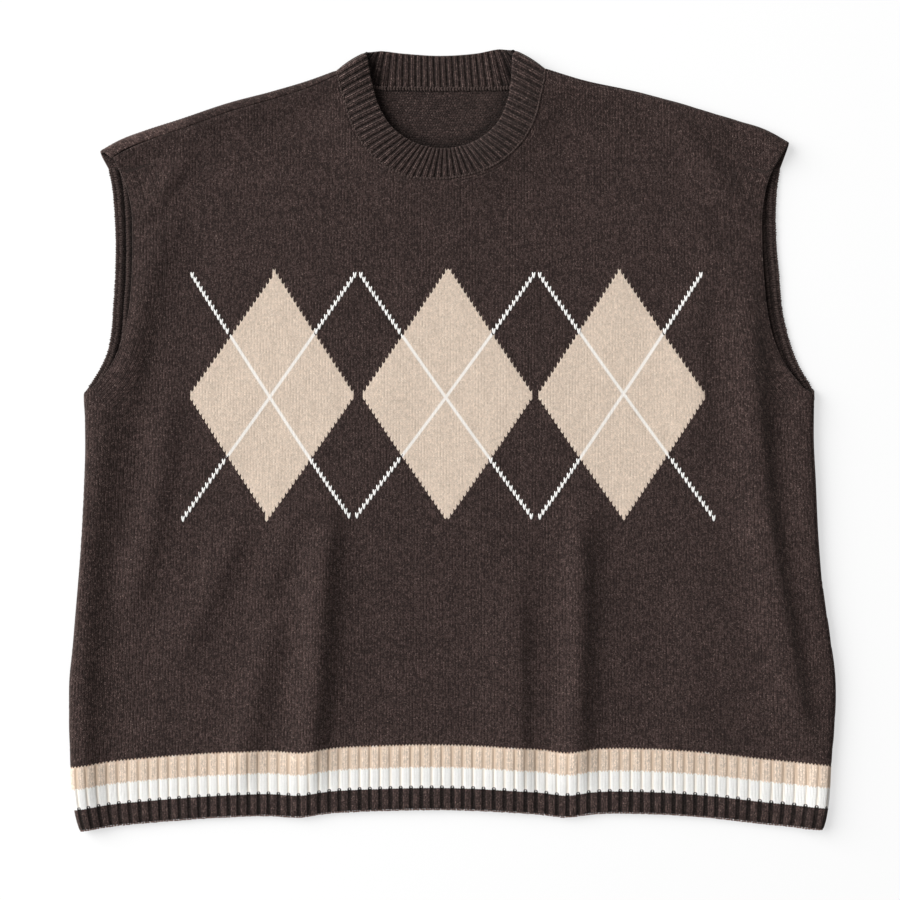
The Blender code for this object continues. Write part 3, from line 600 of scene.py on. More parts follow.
def outer_points(layer, ring):
    """Points of an outer face, in columns on every wale's crest and valley."""
    wide, high = CHART_HALF
    last, course = SHOULDER_STITCH
    wales, rows = np.meshgrid(np.arange(-wide, wide, 0.5), np.arange(HEM_COURSE - 10, high, ROW_STEP))
    lattice = stitch_place(wales.ravel(), rows.ravel())
    clear = (np.abs(shoulder_reach(lattice)) > ROLL_CLEAR) | (lattice[:, 1] < SHOULDER_START[1])
    parts = [lattice[(armhole_place(lattice, layer)[0] > ARMHOLE_BAND) & clear]]
    parts.append(shoulder_rows(stitch_place(np.arange(-last, last, 0.5), course)[:, 0]))
    for side in (-1, 1):
        in_from_edge = np.arange(WALE / 2, ARMHOLE_BAND, WALE / 2)
        for line in armhole_rows(layer, side, ROW_STEP * COURSE, in_from_edge):
            parts.append(line[np.abs(shoulder_reach(line)) > ROLL_CLEAR])
    return apart(parts, ring)


def inner_points(layer, ring):
    """Points of an inner face: a plain lattice, closer together across the rolls."""
    x, y = np.meshgrid(*(np.arange(*span, LINING_STEP) for span in LINING_SPANS))
    lattice = np.stack([x.ravel(), y.ravel()], axis=-1)
    from_fold = np.where(lattice[:, 1] < UNDERARM, side_reach(lattice), shoulder_reach(lattice))
    parts = [lattice[np.abs(from_fold) > ROLL_CLEAR]]
    for side in (-1, 1):
        parts += [side_line(side, reach, 4.0) for reach in ROLL_ROWS]
        if layer == "back":
            edge, *lines = armhole_rows(layer, side, 3.0, (0, *TURN_LINES))
            parts[0] = parts[0][nearest(parts[0], edge)[0] > TURN_LINES[-1] + 1]
            parts += lines
    parts.append(shoulder_rows(np.arange(-286, 274, 4.0)))
    return apart(parts, ring)


def skin(ring, points):
    """A face of the cloth: its points, with the ring's first, and its triangles."""
    flat = [Vector(p) for p in np.concatenate([ring, points])]
    edges = [(k, (k + 1) % len(ring)) for k in range(len(ring))]
    meshed, _, faces, _, _, _ = delaunay_2d_cdt(flat, edges, [], 0, 1e-4)
    cloth = np.array([tuple(p) for p in meshed])
    within = inside(np.array([cloth[list(face)].mean(axis=0) for face in faces]), ring)
    return cloth, [tuple(face) for face, keep in zip(faces, within) if keep]


def make_knit(name, layer, materials):
    """A panel as one closed wall. Its edges are rounded, but not where its rib is knitted on."""
    outline = evenly(panel_outline(layer, EDGE_STEP), EDGE_STEP)
    on_rib = np.abs(outline[:, 1] - hem_seam(outline[:, 0])) < 1e-6
    ring = moved_in(outline, np.where(on_rib, 0.0, EDGE_ROUND))
    count = len(ring)
    cloth, faces = skin(ring, outer_points(layer, ring))
    lining, inner_faces = skin(ring, inner_points(layer, ring))
    normal = outward(cloth, layer)
    away, _ = armhole_place(cloth, layer)
    across, up = stitch_count(cloth).T
    wale = np.where(away < ARMHOLE_BAND, away / WALE, across)
    valley = WALE_RELIEF * (0.5 - 0.5 * np.cos(2 * math.pi * wale))
    if layer == "front":
        diamond = np.clip(np.round(across / DIAMOND_WALES), -1, 1) * DIAMOND_WALES
        valley[2 * np.abs(across - diamond) + np.abs(up) < DIAMOND_COURSES] *= DIAMOND_RELIEF
    depth = np.full(len(lining), WALL)
    if layer == "back":
        turned = armhole_place(lining, layer)[0]
        spread, groove, on_right = TURN_GROOVE
        groove = groove * np.where(lining[:, 0] < 0, 1.0, on_right)
        depth -= groove * np.exp(-((turned - TURN_WIDTH) / spread) ** 2)
        bulge, rises, falls = TURN_BULGE
        depth += bulge * smooth_step(*rises, turned) * (1 - smooth_step(*falls, turned))
    levels = [lay(cloth, layer) - normal * valley[:, None],
              lay(lining, layer) - outward(lining, layer) * depth[:, None]]
    half = normal[:count] * (WALL / 2)
    middle = lay(ring, layer) - half
    edge = lay(outline, layer) - outward(outline, layer) * WALL / 2
    for turn in EDGE_TURNS:
        angle = math.radians(turn)
        levels.append(middle + (edge - middle) * math.cos(angle) + half * math.sin(angle))
    starts = np.cumsum([0] + [len(level) for level in levels])
    rings = [starts[k] + np.arange(count) for k in (0, *range(2, len(levels)), 1)]
    walls = [face[::FACING[layer]] for face in faces]
    walls += [tuple(starts[1] + k for k in face[::-FACING[layer]]) for face in inner_faces]
    for upper, lower in zip(rings, rings[1:]):
        band = np.stack([upper, lower, np.roll(lower, -1), np.roll(upper, -1)], axis=-1)
        walls += list(band[:, ::FACING[layer]])
    piece = make_piece(name, np.concatenate(levels), walls, materials)
    for k in range(len(faces), len(faces) + len(inner_faces)):
        piece.data.polygons[k].material_index = 1
    cloth = np.concatenate([cloth, lining] + [ring] * len(EDGE_TURNS))
    away, up = armhole_place(cloth, layer)
    from_neck, _ = nearest(cloth, opened_out(neck_seam(NECK_STATIONS)))
    if layer == "back":  # its colour gets painted shadow beside the front neckband's edge, and close to its own seam
        under_edge, _ = nearest(cloth, neck_edge(NECK_STATIONS))
        under_seam, _ = nearest(cloth, back_neck(NECK_STATIONS))
        from_neck = np.minimum(under_edge, 1.0 + 1.9 * under_seam)
    store(piece, "knit", stitch_count(cloth))
    store(piece, "edges", np.stack([away / WALE, up / COURSE, np.minimum(from_neck, FAR)], axis=-1))
    return piece, outline


def placed(name, data):
    """A new object in the scene, at the origin."""
    made = bpy.data.objects.new(name, data)
    bpy.context.scene.collection.objects.link(made)
    return made


def make_piece(name, points, faces, materials):
    """A mesh in metres, at the origin, with smooth shading."""
    mesh = bpy.data.meshes.new(name)
    mesh.from_pydata(((points - MIDDLE) * MM).tolist(), [], [tuple(map(int, face)) for face in faces])
    mesh.shade_smooth()
    mesh.set_sharp_from_angle(angle=math.radians(60))
    for material in materials:
        mesh.materials.append(material)
    return placed(name, mesh)


def store(piece, name, values):
    """Keeps up to three numbers for each point, for the piece's material to read."""
    full = np.zeros((len(piece.data.vertices), 3), np.float32)
    values = np.reshape(values, (len(full), -1))
    full[:, :values.shape[1]] = values
    made = piece.data.attributes.new(name, "FLOAT_VECTOR", "POINT")
    made.data.foreach_set("vector", full.ravel())


def operation(name):
    """A method that puts one math node after a Sum."""
    return lambda self, *others: self.nodes.math(name, self, *others)


class Sum:
    """A node's output that can be written into sums."""

    def __init__(self, nodes, socket):
        self.nodes = nodes
        self.socket = socket

    __add__ = operation("ADD")
    __sub__ = operation("SUBTRACT")
    __mul__ = operation("MULTIPLY")
    __truediv__ = operation("DIVIDE")
    __pow__ = operation("POWER")
    __gt__ = operation("GREATER_THAN")
    __lt__ = operation("LESS_THAN")
    size = operation("ABSOLUTE")
    floor = operation("FLOOR")
    part = operation("FRACT")
    rounded = operation("ROUND")
    at_least = operation("MAXIMUM")
    at_most = operation("MINIMUM")

    def less_than_one(self):
        """One less this value, and never below 0."""
        return self.nodes.math("SUBTRACT", 1.0, self).at_least(0.0)


class Nodes:
    """A tree of nodes. Most calls add one node and return its output."""

    def __init__(self, tree):
        self.tree = tree

    def fill(self, node, inputs):
        """Links or sets a node's inputs."""
        for socket, value in inputs.items():
            if isinstance(value, Sum):
                self.tree.links.new(value.socket, node.inputs[socket])
            else:
                node.inputs[socket].default_value = value

    def add(self, kind, inputs, output=0, **settings):
        node = self.tree.nodes.new(kind)
        for setting, value in settings.items():
            setattr(node, setting, value)
        self.fill(node, inputs)
        return Sum(self, node.outputs[output])

    def math(self, name, *values):
        return self.add("ShaderNodeMath", dict(enumerate(values)), operation=name)

    def joined(self, x, y, z=0.0):
        return self.add("ShaderNodeCombineXYZ", {0: x, 1: y, 2: z})

    def split(self, vector):
        """The three numbers of a vector."""
        node = self.add("ShaderNodeSeparateXYZ", {0: vector}).socket.node
        return [Sum(self, output) for output in node.outputs]

    def scaled(self, vector, size):
        """A vector or a colour times a number."""
        return self.add("ShaderNodeVectorMath", {0: vector, 3: size}, operation="SCALE")


class Wool(Nodes):
    """The nodes of one wool."""

    def __init__(self, name):
        self.material = bpy.data.materials.new(name)
        self.material.use_nodes = True
        super().__init__(self.material.node_tree)

    def stored(self, name):
        """The three numbers that a piece keeps for each point."""
        return self.split(self.add("ShaderNodeAttribute", {}, "Vector", attribute_name=name))

    def noise(self, place, scale, detail=2.0):
        return self.add("ShaderNodeTexNoise", {"Vector": place, "Scale": scale, "Detail": detail})

    def chance(self, place):
        """A number from 0 to 1 that is the same all over one stitch."""
        return self.add("ShaderNodeTexWhiteNoise", {"Vector": place})

    def ramp(self, value, low, high):
        """0 below low and 1 above high, with a soft ramp between."""
        return self.add("ShaderNodeMapRange", {"Value": value, "From Min": low, "From Max": high},
                        interpolation_type="SMOOTHSTEP")

    def choose(self, share, first, second):
        """The second colour where share is 1, and the first where it is 0."""
        return self.add("ShaderNodeMix", {0: share, 6: first, 7: second}, 2, data_type="RGBA")

    def pick(self, share, first, second):
        """As choose, for numbers."""
        return self.add("ShaderNodeMix", {0: share, 2: first, 3: second})

    def finish(self, colour, height, relief, roughness=0.95, sheen=0.12):
        """Gives the shader its colour and the yarn's relief, a height in millimetres."""
        bump = self.add("ShaderNodeBump", {"Strength": 1.0, "Distance": relief * MM, "Height": height})
        self.fill(self.tree.nodes["Principled BSDF"], {
            "Normal": bump, "Base Color": colour, "Roughness": roughness, "Specular IOR Level": 0.12,
            "Sheen Weight": sheen, "Sheen Roughness": 0.45, "Sheen Tint": (1.0, 0.86, 0.78, 1.0)})
        return self.material


BROWN = (0.0386, 0.0244, 0.0220, 1.0)
BROWN_FLECK = (0.150, 0.108, 0.096, 1.0)
OATMEAL = (0.600, 0.485, 0.392, 1.0)
OATMEAL_FLECK = (0.745, 0.655, 0.557, 1.0)
# the oatmeal and white groove colours are painted shade for the hem rib's grooves
OATMEAL_GROOVE_SHADE = (0.62, 0.475, 0.358, 1.0)
WHITE = (0.865, 0.856, 0.832, 1.0)
WHITE_GROOVE_SHADE = (0.83, 0.77, 0.69, 1.0)
TIP_BROWN = (0.30, 0.165, 0.10, 1.0)
STITCH_SLANT = 0.85     # how far a stitch's two legs climb, in courses


def stocking_stitch(wool, wale, course, parted=0.40):
    """Wale, course and leg of the stitch at a point, and the height of its yarn, 0 to 1."""
    wale_number = (wale + 0.5).floor()
    off = wale - wale_number
    out = off.size() * 2.0
    climbed = course - out * STITCH_SLANT
    course_number = climbed.floor()
    along = (climbed - course_number - 0.5) * 2.0
    across = (((out - parted) * (0.98 / (1.0 - parted))) ** 2.0).less_than_one() ** 0.5
    plump = ((along.size() ** 4.0) * 0.5).less_than_one()
    stitch = wool.joined(wale_number, course_number, off > 0.0)
    return wale_number, course_number, stitch, across * plump


def purl_bumps(wool, wale, course):
    """As stocking_stitch, for the side that shows the loops' heads as rows of bumps."""
    place = wool.joined(wale, course)
    wale = wale + (wool.noise(place, 0.45) - 0.5) * 2.2
    course = course + (wool.noise(place, 0.62) - 0.5) * 1.6
    course_number = course.floor()
    shifted = wale + (course_number * 0.5).part()
    across = ((shifted.part() - 0.5) * 2.0) ** 2.0
    up = ((course.part() - 0.5) * 2.0) ** 2.0
    stitch = wool.joined(shifted.floor(), course_number)
    return stitch, ((across + up) * 0.8).less_than_one() ** 0.5


def melange(wool, ground, fleck, wale, course, stitch, height, depth, uneven):
    """A yarn spun from fibres of several shades: uneven by stitch, by row and by fibre."""
    own = wool.chance(stitch)
    streak = wool.noise(wool.joined(wale, course * 0.34), 1.0, 3.0)
    cloud = wool.noise(wool.joined(wale * 0.09, course * 0.07), 1.0)
    fibre = wool.noise(wool.joined(wale * 3.2, course * 2.4, own), 1.0, 3.0)
    hair = wool.ramp(fibre, 0.53, 0.70)
    fine = wool.chance(wool.joined((wale * 2.0).floor(), (course * 2.0).floor(), 7.0))
    lit = (own - 0.5) * 0.7 + (fine - 0.5) * 0.6 + (streak - 0.5) * 0.35 + (cloud - 0.5) * 0.35
    lit = (lit * uneven + 1.0).at_least(0.6)
    # painted shade: the colour darkens where the yarn lies low, between legs and rows, by the share depth
    painted_shade = height * depth + (1.0 - depth)
    return wool.scaled(wool.choose(hair * 0.78, ground, fleck), lit * painted_shade)


def purl_wool(name, ground, fleck):
    """The inner face of a panel, with painted shade along its armholes' edges and beside the neckband."""
    wool = Wool(name)
    wale, course, _ = wool.stored("knit")
    stitch, height = purl_bumps(wool, wale, course)
    in_from_armhole, up_armhole, from_edge = wool.stored("edges")
    beside = in_from_armhole < ARMHOLE_BAND / WALE
    on_right = wale > 0.0
    across = ((((in_from_armhole + 0.35) * 0.6).part() - 0.5) * 2.0).size()
    uneven = wool.noise(wool.joined(in_from_armhole * 0.8, up_armhole * 0.45), 1.0, 3.0) * 2.6
    row = ((up_armhole + across * 0.6 + uneven).part() - 0.5) * 2.0
    edge_height = (row ** 2.0).less_than_one() * (across * 0.5).less_than_one()
    height = wool.pick(beside, height, edge_height)
    # painted shade: a dark line in the turned edge's groove, weaker on the right
    fold = wool.ramp((in_from_armhole - TURN_WIDTH / WALE).size(), 0.5, 0.1) * beside
    fold = fold * wool.pick(on_right, 1.0, TURN_GROOVE[2])
    # the next line paints the shadow that the front's armhole edge casts on the strip beside it
    painted_shade = wool.ramp(in_from_armhole, 3.9, 4.8) * beside * wool.pick(on_right, 1.0, 0.6)
    strip = beside * wool.pick(on_right, -0.22, -0.28) + 1.0
    # painted shadow under the front neckband's edge and below the back neck seam
    under = wool.ramp(from_edge, 13.0, 1.0) * 0.55
    colour = melange(wool, ground, fleck, wale, course, stitch, height, 0.6, 1.0)
    colour = wool.scaled(colour, (fold * -0.65 + 1.0) * (painted_shade * -0.6 + 1.0))
    colour = wool.scaled(colour, (under * -1.0 + 1.0) * strip)
    return wool.finish(colour, height, 0.8)


def brown_wool(name):
    """The outer face of the back. Its left shoulder tip, where the cloth turns, is lighter: fuzz and a
    painted highlight.
    """
    wool = Wool(name)
    wale, course, _ = wool.stored("knit")
    _, _, stitch, height = stocking_stitch(wool, wale, course)
    colour = melange(wool, BROWN, BROWN_FLECK, wale, course, stitch, height, 0.6, 1.55)
    # painted highlight, partly fuzz: the left shoulder tip's colour is lightened where its roll faces the
    # light
    tip_fuzz_and_highlight = wool.ramp(wale, -84.0, -96.0) * wool.ramp(course, 92.0, 102.0)
    return wool.finish(wool.scaled(colour, tip_fuzz_and_highlight * 0.8 + 1.0), height, 0.6)


purl_brown = purl_wool("brown_wool_purl", BROWN, BROWN_FLECK)
back, back_outline = make_knit("back_panel_knit", "back", [brown_wool("brown_wool_knit"), purl_brown])
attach(back, "root")
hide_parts("back_panel")


# ---- front panel ----
# The front, of the same stocking stitch, lies on the back with soft folds. Three diamonds are
# knitted into it in oatmeal wool, and a band along each armhole is shaped stitch by stitch, so
# its wales follow the edge.
LINE_STEPS = 26         # stitches from a line's middle to its end
LINES = [               # wale of each line's top and of its bottom
    (-82.5, -30.2), (-29.8, -82.2), (-27.8, 27.0), (28.2, -27.7), (30.2, 84.2), (82.4, 29.7),
]


def argyle(wale_number, course_number):
    """1 on the stitches of the three diamonds. Two of them lack or gain a wale on one side."""
    middle = (wale_number * (1.0 / DIAMOND_WALES)).rounded().at_least(-1.0)
    middle = middle.at_most(1.0) * DIAMOND_WALES
    row = (course_number * 0.5).floor() * 2.0 + 1.0
    off = (wale_number - middle).size() * 2.0 + row.size()
    narrowed = (middle < -1.0) * (wale_number < middle) * 2.0
    widened = (middle.size() < 1.0) * (wale_number > middle) * 2.0
    return off + narrowed - widened < DIAMOND_COURSES + 0.1


def front_wool(name):
    """The outer face of the front: diamonds, shaped bands, the linking round the neck, and painted light
    along the armholes.
    """
    wool = Wool(name)
    wale, course, _ = wool.stored("knit")
    in_from_armhole, up_armhole, from_neck = wool.stored("edges")
    on_band = in_from_armhole < ARMHOLE_BAND / WALE
    band_wale = wool.pick(on_band, wale, in_from_armhole)
    band_course = wool.pick(on_band, course, up_armhole)
    _, _, stitch, height = stocking_stitch(wool, band_wale, band_course)
    across, up, _, _ = stocking_stitch(wool, wale, course)
    brown = melange(wool, BROWN, BROWN_FLECK, band_wale, band_course, stitch, height, 0.6, 1.55)
    oatmeal = melange(wool, OATMEAL, OATMEAL_FLECK, wale, course, stitch, height, 0.07, 0.30)
    beside_line = 0.0
    for top, bottom in LINES:
        line = course * ((top - bottom) / (4.0 * LINE_STEPS)) + (top + bottom) / 2.0
        beside_line = wool.ramp((wale - line).size(), 0.85, 0.3).at_least(beside_line)
    oatmeal = wool.choose(beside_line * 0.7, oatmeal, WHITE)
    tip = (up > HEM_COURSE - 1.5) * (up < HEM_COURSE) * (wool.chance(stitch) ** 2.0)
    oatmeal = wool.choose(tip * 0.8, oatmeal, TIP_BROWN)
    light = argyle(across, up).at_least(up < HEM_COURSE - 0.5)
    colour = wool.choose(light, brown, oatmeal)
    broken = wool.ramp(wool.noise(wool.joined(wale, course), 0.09), 0.48, 0.6)
    linked = wool.ramp(((from_neck - 3.6).size() - 1.1).size(), 0.7, 0.1) * broken
    # painted highlight along the left armhole's edge and painted shade along the right one
    edge = wool.ramp(in_from_armhole, 0.55, 0.15) * wool.pick(wale > 0.0, 0.3, -0.2)
    colour = wool.scaled(colour, linked * 0.3 + edge + 1.0)
    height = height * wool.pick(light, 1.0, 0.32)
    return wool.finish(colour, height + linked, 0.6)


front, front_outline = make_knit(
    "front_panel_knit", "front", [front_wool("brown_wool_argyle"), purl_brown])
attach(front, "root")
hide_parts("front_panel")


# ---- argyle lines ----
# White yarn sewn over the knitting stitch by stitch, so each stitch is a raised V. Two lines cross
# every diamond from corner to corner of its frame.
V_LEG = (5.3, 1.5, 1.1)  # a leg's length, width and height
V_LEAN = 10.5           # degrees between a leg and its wale
V_SUNK = (0.05, 0.56)   # how deep a leg's middle lies in the brown and in the oatmeal cloth


def new_tree(name, sizes):
    """A geometry tree: its nodes, the geometry and the named sizes that go in, and its end."""
    tree = bpy.data.node_groups.new(name, "GeometryNodeTree")
    for way in ("INPUT", "OUTPUT"):
        tree.interface.new_socket("Geometry", in_out=way, socket_type="NodeSocketGeometry")
    for size in sizes:
        tree.interface.new_socket(size, in_out="INPUT", socket_type="NodeSocketFloat")
    nodes = Nodes(tree)
    given = tree.nodes.new("NodeGroupInput").outputs
    return nodes, [Sum(nodes, given[k]) for k in range(len(sizes) + 1)], tree.nodes.new("NodeGroupOutput")


def kept(nodes, name):
    """The three numbers that a seed point or a mesh point keeps, as a vector."""
    return nodes.add("GeometryNodeInputNamedAttribute", {"Name": name}, data_type="FLOAT_VECTOR")


def grown(name, seeds, tree, sizes, material):
    """Runs a geometry tree on seed points and returns the plain mesh it grows."""
    modifier = seeds.modifiers.new(name, "NODES")
    modifier.node_group = tree
    for item in tree.interface.items_tree:
        if item.name in sizes:
            modifier[item.identifier] = sizes[item.name]
    evaluated = seeds.evaluated_get(bpy.context.evaluated_depsgraph_get())
    mesh = bpy.data.meshes.new_from_object(evaluated)
    seeds.modifiers.remove(modifier)
    bpy.data.objects.remove(seeds)
    mesh.name = name
    mesh.materials.clear()
    mesh.materials.append(material)
    mesh.shade_smooth()
    return placed(name, mesh)


def seed_points(name, points, normals, turns):
    """Loose points in metres that keep the way up and a turn about it."""
    mesh = bpy.data.meshes.new(name)
    mesh.from_pydata(((points - MIDDLE) * MM).tolist(), [], [])
    seeds = placed(name, mesh)
    store(seeds, "up", normals)
    store(seeds, "turn", np.outer(turns, (0, 0, 1)))
    return seeds


def oval(nodes, x, y, z):
    """A ball stretched to three sizes."""
    ball = nodes.add("GeometryNodeMeshUVSphere", {"Segments": 8, "Rings": 6, "Radius": 0.5})
    return nodes.add("GeometryNodeTransform", {"Geometry": ball, "Scale": nodes.joined(x, y, z)})


def spread_over(nodes, seeds, shape, material, end):
    """Ends a tree: puts a shape on every seed point, upright on the cloth and turned."""
    aligned = nodes.add("FunctionNodeAlignRotationToVector", {"Vector": kept(nodes, "up")}, axis="Z")
    spin = nodes.add("FunctionNodeRotateRotation", {0: aligned, 1: kept(nodes, "turn")},
                     rotation_space="LOCAL")
    spread = nodes.add("GeometryNodeInstanceOnPoints",
                       {"Points": seeds, "Instance": shape, "Rotation": spin})
    real = nodes.add("GeometryNodeRealizeInstances", {0: spread})
    dyed = nodes.add("GeometryNodeSetMaterial", {"Geometry": real, "Material": material})
    nodes.fill(end, {0: dyed})
    return nodes.tree


def duplicate_stitch_tree(material):
    """A V of two plump legs on every seed point."""
    nodes, (seeds, length, width, height, lean), end = new_tree(
        "duplicate_stitch", ("Leg Length", "Leg Width", "Leg Height", "Lean"))
    legs = nodes.add("GeometryNodeJoinGeometry", {})
    for side in (1, -1):
        laid = nodes.add("GeometryNodeTransform", {
            "Geometry": oval(nodes, width, height, length), "Rotation": Euler((-math.pi / 2, 0, 0))})
        leg = nodes.add("GeometryNodeTransform", {
            "Geometry": laid, "Rotation": nodes.joined(0.0, 0.0, lean * -side),
            "Translation": nodes.joined(width * (side * 0.38), 0.0)})
        nodes.fill(legs.socket.node, {0: leg})
    return spread_over(nodes, seeds, legs, material, end)


def sewn_yarn(name, ground, fleck, uneven, light, scales, relief, *finish):
    """Smooth yarn with a fine twist and a little unevenness."""
    wool = Wool(name)
    place = wool.add("ShaderNodeTexCoord", {}, "Object")
    grain, cloud = (wool.noise(place, scale) for scale in scales)
    colour = wool.scaled(wool.choose(grain * 0.7, ground, fleck), cloud * uneven + light)
    return wool.finish(colour, grain, relief, *finish)


steps = np.arange(-LINE_STEPS, LINE_STEPS + 1)
lines = []
for k, (top, bottom) in enumerate(LINES):
    across = bottom + (top - bottom) * (steps + LINE_STEPS) / (2 * LINE_STEPS)
    keep = (steps != 0) | (k % 2 == 0)  # where two lines cross, one stitch is sewn
    lines += list(zip(across[keep], 2.0 * steps[keep]))
lines = np.array(lines)
at = stitch_place(lines[:, 0], lines[:, 1])
line_normals = outward(at, "front")
sunk = np.where(np.abs(lines[:, 1]) < DIAMOND_COURSES / 2, V_SUNK[1], V_SUNK[0])
line_seeds = seed_points(
    "line_seeds", lay(at, "front") - sunk[:, None] * line_normals, line_normals, np.zeros(len(at)))
line_white = sewn_yarn("white_line_yarn", WHITE, WHITE, 0.2, 0.86, (2600.0, 420.0), 0.12, 0.9, 0.2)
argyle_lines = grown(
    "argyle_lines", line_seeds, duplicate_stitch_tree(line_white),
    {"Leg Length": V_LEG[0] * MM, "Leg Width": V_LEG[1] * MM, "Leg Height": V_LEG[2] * MM,
     "Lean": math.radians(V_LEAN)},
    line_white)
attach(argyle_lines, "root")


# ---- hem ribs ----
# A striped rib is knitted on below each panel: oatmeal, white and brown. Broad ribs of three
# stitches stand up between narrow grooves. The lower edge is rounded.
HEM_RIBS = 73
HEM_SPREAD = 0.06       # how much closer together the front's ribs stand at the right than the left
HEM_MIDDLE = -285.0     # y of the ribs' middle at the sides
HEM_COURSES = 26.5      # courses in the ribs' height
STRIPES = [9, 17]       # courses from the lower edge at which white and oatmeal begin
RIB_RELIEF = {"front": (0.64, 0.3), "back": (1.2, 1.0)}  # height, and the share cut into the wall
RIB_GROOVE = 0.09       # share of a rib's width that its groove takes
END_LEAN = 45.0         # how far in from a hem's ends its ribs lean with them
RIB_WALES = 4
RIB_PLACES = (          # fractions across a rib at which its points stand
    0.0, 0.06, 0.08, 0.115, 0.18, 0.28, 0.39, 0.5, 0.61, 0.72, 0.82, 0.885, 0.92, 0.94)
RIM_ROUND = 1.1         # a band's free edge is rounded over this distance


def hem_end(side, reach, row):
    """Cloth x of a hem row's end, at a cloth distance from the side's fold."""
    x = side * abs(side_x[side](HEM_MIDDLE))
    for _ in range(4):
        x = side_x[side](hem_edge(x) + row * RIB_HEIGHT) - side * reach
    return float(x)


def band_loop(rows, length):
    """The way round a band's cross-section: fraction of its height, depth in the wall, relief.

    It goes down the outer face from the seam, round the free edge and back up the inner face.
    """
    loop = [(row, 0.0, share) for row, share in rows]
    for turn in (70, 45, 20, 0, -20, -45, -70):
        angle = math.radians(turn)
        out = RIM_ROUND * (1 - math.cos(angle)) / length
        loop.append((out, 0.5 - 0.5 * math.sin(angle), max(0.0, math.sin(angle))))
    loop += [(row, 1.0, 0.0) for row in (0.04, 0.3, 0.65, 1.0)]
    return np.array(loop).T


def rib_tree():
    """Raises the ribs: points move along their own normal by a rounded rib profile."""
    nodes, (band, relief, squareness, groove, sunk), end = new_tree(
        "raised_ribs", ("Relief", "Squareness", "Groove", "Sunk"))
    rib, share, _ = nodes.split(kept(nodes, "rib"))
    off = (rib.part() - 0.5).size() * 2.0 / nodes.math("SUBTRACT", 1.0, groove)
    level = (off ** squareness).less_than_one() ** 0.5 - sunk
    lifted = nodes.scaled(kept(nodes, "out"), level * share * relief)
    nodes.fill(end, {0: nodes.add("GeometryNodeSetPosition", {"Geometry": band, "Offset": lifted})})
    return nodes.tree


def make_band(name, ribs, places, loop, place, wales, courses, form, material, cover=None):
    """A closed ribbed band. place(fraction across, fraction up) gives its outer face and normal.

    It keeps how far each point is from the line of a cover that lies over it.
    """
    stations_across = np.array([k + place_in for k in range(ribs) for place_in in places] + [ribs])
    rows, depths, shares_up = loop
    across, up = np.meshgrid(stations_across / ribs, rows, indexing="ij")
    phase, share = np.meshgrid(stations_across, shares_up, indexing="ij")
    outer, normal = place(across, up)
    points = outer - normal * depths[:, None] * WALL
    number = np.arange(across.size).reshape(across.shape)
    after = np.roll(number, -1, axis=1)
    sides = np.stack([number[:-1], after[:-1], after[1:], number[1:]], axis=-1)
    faces = [*sides.reshape(-1, 4), number[0, ::-1], number[-1]]
    piece = make_piece(name, points.reshape(-1, 3), faces, [material])
    away = np.full(phase.size, FAR)
    if cover is not None:
        away = nearest(outer[..., :2].reshape(-1, 2), cover)[0]
    store(piece, "rib", np.stack([phase.ravel(), share.ravel()], axis=-1))
    store(piece, "out", normal)
    store(piece, "knit", np.stack([phase.ravel() * wales, up.ravel() * courses, away], axis=-1))
    shape = bmesh.new()
    shape.from_mesh(piece.data)
    if shape.calc_volume(signed=True) < 0:
        bmesh.ops.reverse_faces(shape, faces=shape.faces)
    shape.to_mesh(piece.data)
    shape.free()
    return grown(name, piece, rib_tree(), form, material)


def hem_place(layer):
    """Where a fraction across and up a hem rib lies: its outer face and normal."""
    reaches = {side: FACING[layer] * SIDE_SEAM[side > 0] for side in (-1, 1)}
    ends = {side: hem_end(side, reaches[side], 1.0) for side in (-1, 1)}

    def place(across, up):
        if layer == "front":
            across = across + HEM_SPREAD * (across ** 2 - across)
        straight = ends[-1] + (ends[1] - ends[-1]) * across
        x = straight
        for side in (-1, 1):
            leans = np.array([hem_end(side, reaches[side], row) for row in up[0]]) - ends[side]
            x = x + leans * np.exp(-np.abs(straight - ends[side]) / END_LEAN)
        cloth = np.stack([x, hem_edge(x) + up * RIB_HEIGHT], axis=-1)
        return lay(cloth, layer), outward(cloth, layer)

    return place


